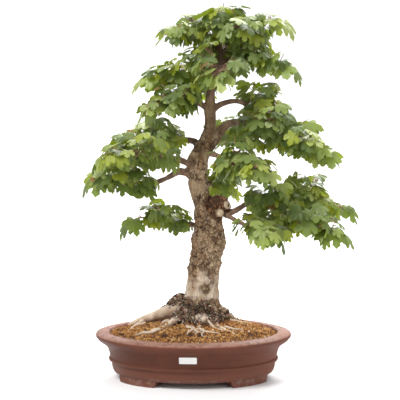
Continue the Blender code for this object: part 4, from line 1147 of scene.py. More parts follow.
def cut_disc(start, end, radius, hollow):
    """A domed disc with fine rings and a rolled lip, facing away from the trunk."""
    facing = (Vector(end) - Vector(start)).normalized()
    across = facing.orthogonal().normalized()
    other = facing.cross(across)
    profile = list(CUT_LIP)
    face_share, face_lift = CUT_LIP[-1]
    for k in range(1, CUT_RINGS):
        share = k / CUT_RINGS
        sunk = -0.0012 * min(share * 2.5, 1.0) if hollow else 0.0016 * math.sqrt(share)
        profile.append((face_share * (1 - share), face_lift + sunk + 0.0003 * (k % 2)))
    rings = []
    for out, lift in profile:
        ring = []
        for k in range(CUT_SIDES):
            angle = 2 * math.pi * k / CUT_SIDES
            spot = across * math.cos(angle) + other * math.sin(angle)
            rough = 1 + 0.12 * noise.noise(spot * 1.7 + Vector(end) * 90)
            ring.append(Vector(end) + spot * out * radius * rough + facing * (CUT_LIFT + lift))
        rings.append(ring)
    return loft(rings)


def cut_wood_look():
    look, tree, shader = new_look("cut_wood", 0.8)
    fine = mask_from(tree, mottle, Scale=380.0, Low=0.3, High=0.7)
    stained = mask_from(tree, mottle, Scale=160.0, Low=0.50, High=0.72)
    colour = mix_colour(tree, fine, (0.400, 0.285, 0.175), (0.640, 0.520, 0.370))
    colour = stain(tree, colour, stained, 0.7, (0.22, 0.13, 0.07))
    healed = mix_colour(tree, fine, (0.120, 0.058, 0.028), (0.350, 0.230, 0.140))
    colour = mix_colour(tree, read_mask(tree, "callus"), colour, healed)
    # Painted shade: the sunk centre of the hollow cut is painted near black.
    colour = mix_colour(tree, read_mask(tree, "hollow_shade"), colour, (0.045, 0.022, 0.012))
    tree.links.new(colour, shader.inputs["Base Color"])
    grain_bump(tree, shader, 800.0, 0.0003)
    return look


discs = [cut_disc(*scar, k == HOLLOW_CUT) for k, scar in enumerate(CUT_SCARS)]
cut_points, cut_faces = put_together(discs)
cuts = add_piece("healed_cuts", cut_points, cut_faces, [cut_wood_look()])
# Where the painted shade in the hollow cut's centre goes.
hollow_middle, hollow_radius = CUT_SCARS[HOLLOW_CUT][1:]
from_hollow = np.linalg.norm(corners_of(cuts.data) - np.array(hollow_middle), axis=1)
store(cuts.data, "hollow_shade", fade(-from_hollow, -0.90 * hollow_radius, -0.68 * hollow_radius))
from_cut = np.min(
    [
        np.linalg.norm(corners_of(cuts.data) - np.array(end), axis=1) / radius
        for _, end, radius in CUT_SCARS
    ],
    axis=0,
)
store(cuts.data, "callus", fade(from_cut, 1.06, 1.24) * (from_hollow > 1.5 * hollow_radius))


# Soil
# Baked clay granules with a little pumice and bark, mounded up to the root flare.
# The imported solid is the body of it, and the loose top layer lies on that.

GRANULES = 5200
GRANULE_SIZE = (0.0012, 0.0029)
GRANULE_TONES = (
    (0.00, (0.035, 0.014, 0.006)),
    (0.20, (0.140, 0.050, 0.012)),
    (0.45, (0.350, 0.148, 0.032)),
    (0.75, (0.520, 0.250, 0.062)),
    (0.92, (0.660, 0.400, 0.150)),
    (0.98, (0.740, 0.600, 0.410)),
)
SOIL_EDGE, SOIL_RISE = 0.0885, 0.0120
UNDER_ROOT_REACH = 0.085
ROOT_LAP = 0.0034
HEAP_LAP = 0.0080
ROOT_HEAPS = (
    (-0.040, -0.010), (-0.052, -0.018), (-0.010, -0.020), (0.006, -0.016), (0.048, -0.020),
    (0.078, 0.050), (0.092, 0.053), (0.106, 0.055), (0.118, 0.056),
)
HEAP_REACH = 0.014
SOIL_INSET = 0.0300
DARK_CLUMPS = (
    (-0.056, -0.072), (-0.030, -0.076), (-0.004, -0.073), (0.014, -0.071),
    (-0.141, -0.034), (0.086, 0.040), (0.080, 0.056), (0.112, -0.052),
)


def soil_body_look():
    look, tree, shader = new_look("soil_granules", 0.95)
    lumps = mask_from(tree, mottle, Scale=260.0, Low=0.35, High=0.65)
    colour = mix_colour(tree, lumps, (0.060, 0.024, 0.010), (0.260, 0.110, 0.035))
    tree.links.new(colour, shader.inputs["Base Color"])
    grain_bump(tree, shader, 300.0, 0.002)
    return look


def surface_of(obj):
    """A search tree of a packed or made piece, about the pot's middle."""
    faces = [tuple(face.vertices) for face in obj.data.polygons]
    return BVHTree.FromPolygons(corners_of(obj.data).tolist(), faces)


def granule_places(count, seed):
    """Spots on the soil's top, clear of the trunk and lapping the roots' flanks."""
    drawn = random.Random(seed)
    down = Vector((0, 0, -1))
    ground = surface_of(frame["nodes"]["soil"])
    timber = surface_of(wood)
    places = []
    while len(places) < count:
        angle, share = drawn.uniform(0, 2 * math.pi), math.sqrt(drawn.random())
        x = share * (RIM_HALF_LENGTH - SOIL_INSET) * math.cos(angle)
        y = share * (RIM_HALF_DEPTH - SOIL_INSET) * math.sin(angle)
        spot, facing, _, _ = ground.ray_cast(Vector((x, y, 0.15)), down)
        if spot is None or facing.z < 0.4 or spot.z < 0.075:
            spot = Vector((x, y, SOIL_EDGE + SOIL_RISE))
            if math.hypot(x - FLARE_MIDDLE[0], y - FLARE_MIDDLE[1]) > UNDER_ROOT_REACH:
                continue
        above = timber.ray_cast(Vector((x, y, 0.25)), down)[0]
        height = spot.z
        if above is not None and above.z > height:
            heaped = min(math.hypot(x - a, y - b) for a, b in ROOT_HEAPS) < HEAP_REACH
            if above.z > height + (HEAP_LAP if heaped else ROOT_LAP):
                continue
            height = above.z
        places.append((x, y, height + drawn.uniform(-0.0004, 0.0016)))
    return np.array(places)


frame["nodes"]["soil"].data.materials.clear()
frame["nodes"]["soil"].data.materials.append(soil_body_look())
rng = np.random.default_rng(7)
granule_spots = granule_places(GRANULES, 5)
damp = lattice_noise(granule_spots * 30, 9)
edge_share = np.hypot(
    granule_spots[:, 0] / (RIM_HALF_LENGTH - SOIL_INSET), granule_spots[:, 1] / (RIM_HALF_DEPTH - SOIL_INSET)
)
granule_tones = rng.beta(1.9, 1.5, GRANULES)
granule_tones *= 1 - 0.45 * fade(damp, 0.55, 0.8) * fade(edge_share, 0.6, 0.95)
flat_spots = granule_spots[:, :2]
for clump in DARK_CLUMPS:
    granule_tones *= 1 - 0.85 * fade(-np.hypot(*(flat_spots - clump).T), -0.011, -0.005)
granule_tones *= 0.45 + 0.55 * fade(np.hypot(*(flat_spots - FLARE_MIDDLE).T), 0.045, 0.070)
granules = scatter_lumps(
    "soil_top_granules",
    granule_spots,
    rng.uniform(*GRANULE_SIZE, GRANULES),
    granule_tones,
    (1.05, 1.0, 0.8),
    toned_look("granules", GRANULE_TONES, 0.95, 700.0, 0.0004),
    rng,
)


# Fine roots
# Thin cream roots, twisted and forked, that run out over the soil from the flare.
# They are part of the living wood, and too slim for its solid.

FINE_ROOTS = (
    ((-0.014, -0.030, 0.0022), (-0.002, -0.046, 0.0019), (-0.010, -0.060, 0.0014), (-0.012, -0.072, 0.0008)),
    ((-0.002, -0.046, 0.0017), (0.007, -0.060, 0.0013), (0.004, -0.072, 0.0008)),
    ((0.010, -0.040, 0.0024), (0.020, -0.056, 0.0019), (0.036, -0.062, 0.0014), (0.052, -0.066, 0.0008)),
    ((0.020, -0.056, 0.0016), (0.016, -0.070, 0.0012), (0.019, -0.082, 0.0007)),
    ((-0.066, -0.040, 0.0026), (-0.082, -0.052, 0.0027), (-0.100, -0.050, 0.0020), (-0.112, -0.056, 0.0009)),
    ((-0.096, 0.022, 0.0022), (-0.118, 0.008, 0.0016), (-0.128, -0.010, 0.0008)),
    ((0.062, -0.030, 0.0020), (0.078, -0.036, 0.0015), (0.096, -0.034, 0.0008)),
    ((0.074, 0.030, 0.0020), (0.096, 0.026, 0.0015), (0.112, 0.034, 0.0008)),
    ((0.020, 0.086, 0.0020), (0.006, 0.100, 0.0014), (-0.012, 0.106, 0.0008)),
)
FINE_ROOT_WIDTH = 1.3
FINE_ROOT_LIFT, FINE_ROOT_SWAY = 0.0014, 0.0022
ROOT_LOOPS = (
    ((-0.064, -0.006, 0.104, 0.0022), (-0.060, -0.010, 0.113, 0.0027), (-0.051, -0.013, 0.116, 0.0025),
     (-0.046, -0.018, 0.106, 0.0020)),
    ((0.030, -0.014, 0.116, 0.0026), (0.036, -0.024, 0.110, 0.0024), (0.044, -0.036, 0.106, 0.0020),
     (0.060, -0.046, 0.104, 0.0015), (0.078, -0.050, 0.101, 0.0010)),
)


def on_the_soil(route):
    """The same route with its heights, lying half sunk in the granules."""
    ground = surface_of(frame["nodes"]["soil"])
    rows = curve_through(route, 6)
    made = []
    for x, y, radius in rows:
        spot = ground.ray_cast(Vector((x, y, 0.25)), Vector((0, 0, -1)))[0]
        sway = noise.noise_vector(Vector((x, y, 0.0)) * 140.0) * FINE_ROOT_SWAY
        height = spot.z + FINE_ROOT_LIFT + radius * 0.6
        made.append((x + sway.x, y + sway.y, height, radius * FINE_ROOT_WIDTH))
    return made


root_tubes = [tube(on_the_soil(route), 8) for route in FINE_ROOTS]
root_tubes += [tube(curve_through(route, 6), 8) for route in ROOT_LOOPS]
root_points, root_faces = put_together(root_tubes)
fine_roots = add_piece("fine_roots", root_points, root_faces, [bark])
store(fine_roots.data, "bare", np.ones(len(root_points)))
# Painted light: the fine roots count as facing up all over, so the painted top light whitens them.
store(fine_roots.data, "top", np.full(len(root_points), 0.9))


# Leafy sprays
# Each spray is a twig with side shoots, opposite pairs of stalked leaves and a leaf at each
# end. Field maple leaves have three or five blunt lobes, satin green above and paler below;
# the thin blades let light through, and the newest are yellow-green or bronze.

GAP = 0.0003
UP = Vector((0.0, 0.0, 1.0))
SPRAYS = (
    ("trunk", 1.00, (0.068, 0.028, 0.722)),
    ("trunk", 0.965, (0.032, -0.004, 0.712)),
    ("apex_left", 1.00, (-0.046, 0.012, 0.683)),
    ("apex_left", 0.55, (0.000, 0.044, 0.712)),
    ("apex_right", 1.00, (0.156, 0.000, 0.706)),
    ("apex_right", 0.45, (0.098, -0.016, 0.694)),
    ("apex_right", 0.40, (0.096, 0.056, 0.700)),
    ("apex_back", 1.00, (0.070, 0.114, 0.662)),
    ("right_high", 1.00, (0.180, 0.008, 0.618)),
    ("right_high", 0.50, (0.112, 0.056, 0.652)),
    ("left_high", 1.00, (-0.084, 0.046, 0.598)),
    ("left_high", 0.62, (-0.042, 0.008, 0.614)),
    ("front_high", 1.00, (0.052, -0.092, 0.602)),
    ("front_high", 0.60, (0.014, -0.050, 0.632)),
    ("back_high", 1.00, (0.006, 0.144, 0.574)),
    ("left_upper", 1.00, (-0.086, -0.012, 0.534)),
    ("left_upper", 0.60, (-0.030, -0.032, 0.562)),
    ("right_arch", 1.00, (0.222, 0.014, 0.496)),
    ("right_arch", 0.75, (0.166, -0.020, 0.530)),
    ("right_arch", 0.55, (0.140, 0.044, 0.566)),
    ("right_limb", 1.00, (0.258, -0.034, 0.448)),
    ("right_limb", 0.84, (0.216, -0.062, 0.480)),
    ("right_limb", 0.62, (0.132, -0.058, 0.514)),
    ("right_limb_back", 1.00, (0.206, 0.070, 0.502)),
    ("right_limb_back", 0.55, (0.150, 0.072, 0.536)),
    ("left_front", 1.00, (-0.146, -0.092, 0.448)),
    ("left_front", 0.70, (-0.096, -0.098, 0.470)),
    ("left_back", 1.00, (-0.146, 0.108, 0.468)),
    ("left_back", 0.60, (-0.084, 0.066, 0.500)),
    ("left_wide", 1.00, (-0.186, -0.014, 0.400)),
    ("left_wide", 0.80, (-0.156, -0.042, 0.412)),
    ("left_wide", 0.72, (-0.142, 0.036, 0.414)),
    ("right_front", 1.00, (0.120, -0.122, 0.420)),
    ("right_front", 0.60, (0.092, -0.048, 0.456)),
    ("low_right", 1.00, (0.276, -0.040, 0.294)),
    ("low_right", 0.80, (0.224, -0.062, 0.330)),
    ("low_right", 0.50, (0.146, -0.036, 0.372)),
    ("low_right_back", 1.00, (0.306, 0.064, 0.330)),
    ("low_right_back", 0.55, (0.232, 0.026, 0.384)),
    ("low_right_front", 1.00, (0.150, -0.098, 0.302)),
    ("low_left", 1.00, (-0.120, 0.086, 0.304)),
    ("low_left", 0.65, (-0.076, 0.058, 0.334)),
    ("back_low", 1.00, (0.052, 0.202, 0.362)),
    ("back_low", 0.60, (0.072, 0.140, 0.398)),
    ("back_middle", 1.00, (0.086, 0.164, 0.482)),
)
TWIG_RADIUS, TWIG_TIP_RADIUS = 0.0017, 0.0011
TWIG_COLLAR = 0.005
LEAF_PAIRS = (0.90, 0.55)
OUTER_HANG, SIDE_HANG = 0.9, 0.25
PAIR_STAGGER = 0.0012
ROOT_OFFSET = 0.0004
LEAF_LENGTH = (0.030, 0.043)
PETIOLE_LENGTH = (0.012, 0.024)
PETIOLE_WIDTH = 0.0013
LEAF_ROLL = 0.9
LEAF_FORWARD = (0.2, 0.7)
LEAF_LOWEST = -0.3
LEAF_DROOP = (0.1, 0.5)
LEAF_TILT = 0.4
LEAF_ARCH = (0.02, 0.16)
LEAF_FOLD = (0.0, 0.22)
END_LEAF_SIZE = 1.08
LEAF_CLEARANCE = 0.0012
LEAF_TRIES = 60
FIVE_LOBES = ((21, 0.58), (43, 0.88), (66, 0.46), (98, 0.54))
THREE_LOBES = ((26, 0.56), (56, 0.84), (98, 0.36))
THREE_LOBED_SHARE = 0.5
FIVE_LOBED_HALF = (
    (0.000, 0.000), (0.070, -0.055), (0.190, -0.115), (0.330, -0.150), (0.470, -0.145), (0.570, -0.085),
    (0.560, 0.010), (0.510, 0.090), (0.470, 0.160), (0.580, 0.215), (0.690, 0.285), (0.775, 0.350),
    (0.765, 0.460), (0.785, 0.570), (0.790, 0.670), (0.690, 0.690), (0.595, 0.735), (0.490, 0.680),
    (0.385, 0.615), (0.280, 0.550), (0.275, 0.650), (0.290, 0.745), (0.335, 0.830), (0.240, 0.880),
    (0.155, 0.935), (0.075, 0.985), (0.000, 1.030),
)
THREE_LOBED_HALF = (
    (0.000, 0.000), (0.060, -0.045), (0.170, -0.080), (0.300, -0.080), (0.430, -0.035), (0.545, 0.045),
    (0.645, 0.150), (0.725, 0.270), (0.780, 0.395), (0.790, 0.520), (0.810, 0.645), (0.705, 0.675),
    (0.590, 0.715), (0.480, 0.675), (0.370, 0.620), (0.265, 0.560), (0.270, 0.660), (0.300, 0.755),
    (0.340, 0.835), (0.240, 0.885), (0.150, 0.940), (0.070, 0.985), (0.000, 1.025),
)
VEIN_ANGLES = (46, 100)
LEAF_TONES = (
    (0.00, (0.078, 0.114, 0.030)),
    (0.35, (0.170, 0.228, 0.064)),
    (0.70, (0.290, 0.355, 0.110)),
    (1.00, (0.430, 0.480, 0.160)),
)
INNER_SPACING = 0.25
FINE_THICKNESS = 0.0004
PETIOLE_RADII = (0.00062, 0.00048, 0.00052, 0.0003)
PETIOLE_SUNK = 0.0012
TWIG_SUNK = 0.003
DOME = (0.12, 0.30)
PACKED_LEAF_SIZE = (0.64, 0.90)
LEAF_BREADTH = 0.84
SHOOT_LENGTH = (0.012, 0.034)
SHOOT_RADIUS, SHOOT_TIP_RADIUS = 0.0010, 0.0006
SHOOT_LEAF_LENGTH = (0.016, 0.027)
YOUNG_LEAF_LENGTH = (0.007, 0.012)
SHOOT_HANG = 1.15
SHOOT_CLEARANCE = 0.0004
SHOOT_LEAF_TRIES = 18
BRANCH_SHOOT_STEPS = (0.05, 0.11, 0.17, 0.24, 0.32, 0.40, 0.50)
SHOOT_REACH = 0.06
SHOOT_TRIES = 8
SHOOT_PAIRS = (0.82, 0.42)
END_TWIG_SHOOTS = (0.26, 0.42, 0.58, 0.74, 0.90)
SIDE_TWIG_SHOOTS = (0.30, 0.48, 0.66, 0.86)
BRONZE_SHARE, YOUNG_SHARE = 0.10, 0.16
BARE_STARTS = {
    "left_wide": 0.50,
    "right_arch": 0.46,
    "low_right": 0.34,
    "low_right_front": 0.40,
    "right_limb": 0.46,
}
BARE_START = 0.20
TRUNK_SHOOT_STEPS = (0.015, 0.030, 0.045, 0.06, 0.075, 0.09, 0.105, 0.12, 0.14, 0.16)
UPRIGHT = 0.75
BEYOND_PACKED = 0.060
CROWN_SIDES = (
    (0.220, -0.110, 0.310), (0.360, -0.100, 0.290), (0.385, -0.205, 0.270), (0.430, -0.195, 0.268),
    (0.475, -0.170, 0.262), (0.520, -0.095, 0.195), (0.600, -0.088, 0.178), (0.640, -0.050, 0.172),
    (0.690, -0.048, 0.160), (0.715, -0.030, 0.150), (0.736, 0.030, 0.090),
)
BARE_FRONTS = ((0.16, 0.450), (0.500, 0.568), (0.604, 0.664))


def route_of(branch):
    return TRUNK if branch == "trunk" else BRANCHES[branch]


def along_route(route, share):
    """Position, direction and radius at a share of the route's length."""
    points = [Vector(point[:3]) for point in route]
    lengths = [(b - a).length for a, b in zip(points, points[1:])]
    left = share * sum(lengths)
    for k, length in enumerate(lengths):
        if left <= length or k == len(lengths) - 1:
            part = min(left / length, 1.0)
            forward = (points[k + 1] - points[k]).normalized()
            radius = route[k][3] + (route[k + 1][3] - route[k][3]) * part
            return points[k].lerp(points[k + 1], part), forward, radius
        left -= length
    return points[-1], (points[-1] - points[-2]).normalized(), route[-1][3]


def seat_on_bark(timber, middle, outward, radius):
    """Where a side twig springs from the wood: just off its surface, and the way that faces."""
    above = middle + outward * (radius * 1.5 + TWIG_COLLAR)
    spot, facing, _, _ = timber.ray_cast(above, -outward)
    return spot + facing * GAP, facing


def twig_route(timber, branch, share, tip):
    """The twig's points: it leaves its branch square on, then rises and levels out to its tip."""
    middle, forward, radius = along_route(route_of(branch), share)
    tip = Vector(tip)
    if share == 1.0:
        outward = UP if branch == "trunk" else forward
        base = middle + outward * GAP
    else:
        reach = tip - middle
        across = (reach - forward * reach.dot(forward)).normalized()
        base, outward = seat_on_bark(timber, middle, across, radius)
    collar = base + outward * TWIG_COLLAR
    halfway = collar.lerp(tip, 0.5) + Vector((0.0, 0.0, 0.004))
    thick = min(radius, TWIG_RADIUS)
    middling = (thick + TWIG_TIP_RADIUS) / 2
    return ((*base, thick), (*collar, thick), (*halfway, middling), (*tip, TWIG_TIP_RADIUS))


def leaf_sheet(leaf):
    """Corners and triangles of one leaf as a coarse sheet: its petiole strip and its lobed blade."""
    root, seat, along, up, length, lobes, arch, fold = leaf
    side = along.cross(up).normalized()
    up = side.cross(along)
    stalk_side = (seat - root).cross(up).normalized() * PETIOLE_WIDTH / 2
    half = side * PETIOLE_WIDTH / 2
    tip = seat + length * (along - up * arch)
    corners = [root - stalk_side, root + stalk_side, seat - half, seat + half, tip]
    for sign in (-1, 1):
        for degrees, share in lobes:
            angle = math.radians(degrees)
            forward = share * math.cos(angle)
            across = share * math.sin(angle)
            lift = fold * across - arch * share * share
            corners.append(seat + length * (along * forward + side * (sign * across) + up * lift))
    count = len(lobes)
    left, right = 5, 5 + count
    faces = [(0, 1, 3), (0, 3, 2), (2, 3, 4), (2, 4, left), (3, right, 4)]
    for k in range(count - 1):
        faces.append((2, left + k, left + k + 1))
        faces.append((3, right + k + 1, right + k))
    return corners, faces


def sheet_layers(corners, faces, distance):
    """The sheet's own triangles and copies that far to each side, to test what comes near it."""
    points = np.array([tuple(corner) for corner in corners])
    triangles = np.array(faces)
    a, b, c = (points[triangles[:, k]] for k in range(3))
    normals = np.cross(b - a, c - a)
    at_corner = np.zeros_like(points)
    for k in range(3):
        np.add.at(at_corner, triangles[:, k], normals)
    at_corner /= np.linalg.norm(at_corner, axis=1)[:, None]
    shells = [points, points + at_corner * distance, points - at_corner * distance]
    count = len(points)
    layers = np.concatenate([triangles + count * k for k in range(3)])
    return BVHTree.FromPolygons(np.concatenate(shells).tolist(), layers.tolist())


def limb_shell(route, grow):
    """A plain six-sided sleeve round a limb, that much outside its surface."""
    points, faces = [], []
    spots = [Vector(point[:3]) for point in route]
    for k, spot in enumerate(spots):
        ahead = (spots[min(k + 1, len(spots) - 1)] - spots[max(k - 1, 0)]).normalized()
        across = ahead.orthogonal().normalized()
        other = ahead.cross(across)
        radius = route[k][3] + grow
        for step in range(6):
            angle = math.pi * step / 3
            points.append(spot + (across * math.cos(angle) + other * math.sin(angle)) * radius)
    for k in range(len(spots) - 1):
        for step in range(6):
            a, b = 6 * k + step, 6 * k + (step + 1) % 6
            faces.append((a, b, b + 6, a + 6))
    return points, faces


def shells_tree(routes, grow):
    return BVHTree.FromPolygons(*put_together([limb_shell(route, grow) for route in routes]))


def free_part(corners, faces):
    """The blade and the outer part of the petiole, which nothing may touch."""
    root = [corners[0].lerp(corners[2], 0.4), corners[1].lerp(corners[3], 0.4)]
    return root + list(corners[2:]), faces


def leaf_positions(route, pairs):
    """Where a twig bears leaves, and to which side: +1, -1, or 0 for the one at its end."""
    spot, forward, _ = along_route(route, 1.0)
    places = [(spot - forward * PAIR_STAGGER, forward, 0)]
    for share in pairs:
        spot, forward, _ = along_route(route, share)
        places += [(spot + forward * PAIR_STAGGER * side, forward, side) for side in (-1, 1)]
    return places


def draw_leaf(rng, spot, forward, side, hang, sizes=LEAF_LENGTH):
    """One trial leaf: sideways or straight on from the twig, its blade arched and drooping."""
    level = forward.cross(UP).normalized()
    roll = rng.uniform(-LEAF_ROLL, LEAF_ROLL)
    sideways = level * math.cos(roll) * side + UP * math.sin(roll) * 0.6
    direction = sideways + forward * (rng.uniform(*LEAF_FORWARD) if side else 1.0)
    direction.z = max(direction.z, LEAF_LOWEST)
    direction.normalize()
    seat = spot + direction * rng.uniform(*PETIOLE_LENGTH)
    droop = rng.uniform(*LEAF_DROOP) + hang * rng.uniform(0.3, 1.0)
    along = (direction - UP * droop).normalized()
    tilt = Vector((rng.uniform(-LEAF_TILT, LEAF_TILT), rng.uniform(-LEAF_TILT, LEAF_TILT), 1.0))
    tilt += Vector((direction.x, direction.y, 0.0)) * LEAF_TILT
    length = rng.uniform(*sizes) * (1.0 if side else END_LEAF_SIZE)
    lobes = THREE_LOBES if rng.random() < THREE_LOBED_SHARE else FIVE_LOBES
    arch, fold = rng.uniform(*LEAF_ARCH), rng.uniform(*LEAF_FOLD)
    root = spot + direction * ROOT_OFFSET
    return root, seat, along, tilt, length, lobes, arch, fold


def packed_foliage():
    """A search tree of the corners of all packed sprays."""
    nodes = [node for name, node in frame["nodes"].items() if name.startswith("leafy_spray")]
    points = np.vstack([corners_of(node.data) for node in nodes])
    tree = KDTree(len(points))
    for k, point in enumerate(points):
        tree.insert(point, k)
    tree.balance()
    return tree


def hides_trunk(corner):
    """Whether a leaf's corner is before a stretch of trunk that is kept in view."""
    if not any(low < corner.z < high for low, high in BARE_FRONTS):
        return False
    heights = [row[2] for row in TRUNK]
    x, y, radius = (np.interp(corner.z, heights, [row[k] for row in TRUNK]) for k in (0, 1, 3))
    return corner.y < y and abs(corner.x - x) < radius + 0.003


def belongs(corners, packed):
    """Whether an added leaf keeps to the crown's outline and off the trunk's front."""
    heights, lefts, rights = np.array(CROWN_SIDES).T
    for spot in corners[4:] + [corners[2]]:
        if spot.z > heights[-1] or hides_trunk(spot):
            return False
        if not np.interp(spot.z, heights, lefts) < spot.x < np.interp(spot.z, heights, rights):
            return False
        if packed.find(spot)[2] > BEYOND_PACKED:
            return False
    return True


class Canopy:
    """The leaves placed so far, kept clear of the wood and of each other."""

    def __init__(self):
        self.taken = []

    def is_free(self, corners, faces, wood_tree, clearance):
        tree = sheet_layers(*free_part(corners, faces), clearance)
        if tree.overlap(wood_tree):
            return None
        middle, reach = corners[2], (corners[4] - corners[2]).length + 0.03
        for other, spot, room in self.taken:
            if (middle - spot).length < reach + room and tree.overlap(other):
                return None
        return tree, middle, reach

    def add(self, rng, place, hang, wood_tree, sizes, clearance, tries, packed=None):
        """Tries leaves at one place until one fits, and returns it."""
        for _ in range(tries):
            leaf = draw_leaf(rng, *place, hang, sizes)
            corners, faces = leaf_sheet(leaf)
            if packed and not belongs(corners, packed):
                continue
            found = self.is_free(corners, faces, wood_tree, clearance)
            if found:
                self.taken.append(found)
                return leaf
        return None

    def crossed_by(self, route):
        shell = shells_tree([route], 0.0)
        start = Vector(route[0][:3])
        return any(
            (start - spot).length < room + SHOOT_REACH and shell.overlap(tree)
            for tree, spot, room in self.taken
        )


def shoot_route(rng, start, direction, length):
    """A short side shoot that bends up a little towards its end."""
    middle = start + direction * length * 0.5 + UP * length * 0.04
    tip = start + direction * length + UP * length * rng.uniform(0.0, 0.25)
    half = (SHOOT_RADIUS + SHOOT_TIP_RADIUS) / 2
    return ((*start, SHOOT_RADIUS), (*middle, half), (*tip, SHOOT_TIP_RADIUS))


def shoot_direction(rng, forward, side):
    """Off to one side of a branch, or to any side of an upright stem."""
    level = forward.cross(UP).normalized()
    if forward.z > UPRIGHT:
        around = rng.uniform(0, 2 * math.pi)
        level = Vector((math.cos(around), math.sin(around), 0.0))
    spread = level * side + forward * rng.uniform(0.3, 1.1) + UP * rng.uniform(-0.15, 0.45)
    return spread.normalized()


def grow_shoots(canopy, twigs):
    """Side shoots for every spray: along its own twig, and along the stretch of branch near it."""
    shoots = [[] for _ in SPRAYS]
    for number, twig in enumerate(twigs):
        rng = random.Random(3000 + number)
        branch, share, _ = SPRAYS[number]
        shares = END_TWIG_SHOOTS if share == 1.0 else SIDE_TWIG_SHOOTS
        starts = [(twig, place) for place in shares]
        steps = TRUNK_SHOOT_STEPS if branch == "trunk" else BRANCH_SHOOT_STEPS
        bare_until = BARE_STARTS.get(branch, BARE_START)
        starts += [(route_of(branch), share - step) for step in steps if share - step > bare_until]
        for route, place in starts:
            spot, forward, _ = along_route(route, place)
            for side in (-1, 1):
                for _ in range(SHOOT_TRIES):
                    direction = shoot_direction(rng, forward, side)
                    candidate = shoot_route(rng, spot, direction, rng.uniform(*SHOOT_LENGTH))
                    if not canopy.crossed_by(candidate):
                        shoots[number].append(candidate)
                        break
    return shoots


def packed_leaves(canopy, twigs, wood_tree):
    """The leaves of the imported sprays, drawn again in the same order."""
    groups = []
    for number, twig in enumerate(twigs):
        rng = random.Random(1000 + number)
        outer = SPRAYS[number][1] == 1.0
        hang = OUTER_HANG if outer else SIDE_HANG
        places = leaf_positions(twig, LEAF_PAIRS if outer else LEAF_PAIRS[:1])
        found = [
            canopy.add(rng, place, hang, wood_tree, LEAF_LENGTH, LEAF_CLEARANCE, LEAF_TRIES)
            for place in places
        ]
        groups.append([(leaf, 0) for leaf in found if leaf])
    return groups


def place_all_leaves():
    """For each spray: its twig, its side shoots and every leaf, clear of wood and of each other."""
    timber = surface_of(frame["nodes"]["trunk"])
    twigs = [twig_route(timber, *spray) for spray in SPRAYS]
    limbs = [TRUNK, *BRANCHES.values(), *twigs]
    canopy = Canopy()
    leaves = packed_leaves(canopy, twigs, shells_tree(limbs, LEAF_CLEARANCE))
    shoots = grow_shoots(canopy, twigs)
    full_tree = shells_tree(limbs + [route for group in shoots for route in group], SHOOT_CLEARANCE)
    packed = packed_foliage()
    for number, group in enumerate(shoots):
        rng = random.Random(5000 + number)
        borne = []
        for route in group:
            found = []
            for place in leaf_positions(route, SHOOT_PAIRS):
                if place[2] == 0 and rng.random() < BRONZE_SHARE:
                    age = 2
                else:
                    age = int(rng.random() < YOUNG_SHARE)
                sizes = YOUNG_LEAF_LENGTH if age == 2 else SHOOT_LEAF_LENGTH
                leaf = canopy.add(
                    rng, place, SHOOT_HANG, full_tree, sizes, SHOOT_CLEARANCE, SHOOT_LEAF_TRIES, packed
                )
                if leaf:
                    found.append((leaf, age))
            if found:
                borne.append(route)
            leaves[number] += found
        shoots[number] = borne
    return list(zip(twigs, shoots, leaves))


def blade_template(half):
    """A flat blade of unit length: (along, across) corners, triangles split alike, and its rim."""
    right = np.array(half)
    left = right[1:-1][::-1] * np.array((-1.0, 1.0))
    rim = np.vstack([right, left])
    outline = [Vector(point) for point in rim]
    inner = []
    for v in np.arange(-0.60, 0.61, INNER_SPACING):
        for u in np.arange(-0.05, 0.96, INNER_SPACING):
            gaps = np.hypot(rim[:, 0] - v, rim[:, 1] - u)
            if gaps.min() > 0.055:
                inner.append(Vector((v, u)))
    count = len(outline)
    edges = [(k, (k + 1) % count) for k in range(count)]
    points, _, triangles, _, _, _ = delaunay_2d_cdt(outline + inner, edges, [], 1, 1e-6)
    corners = np.array([(point.y, point.x) for point in points])
    faces = np.array([tuple(face) for face in triangles])
    a, b, c = (corners[faces[:, k]] for k in range(3))
    turned = np.cross(b - a, c - a) > 0
    faces[turned] = faces[turned][:, ::-1]
    used = [(int(face[k]), int(face[(k + 1) % 3])) for face in faces for k in range(3)]
    border = np.array([pair for pair in used if pair[::-1] not in used])
    return corners, faces, border


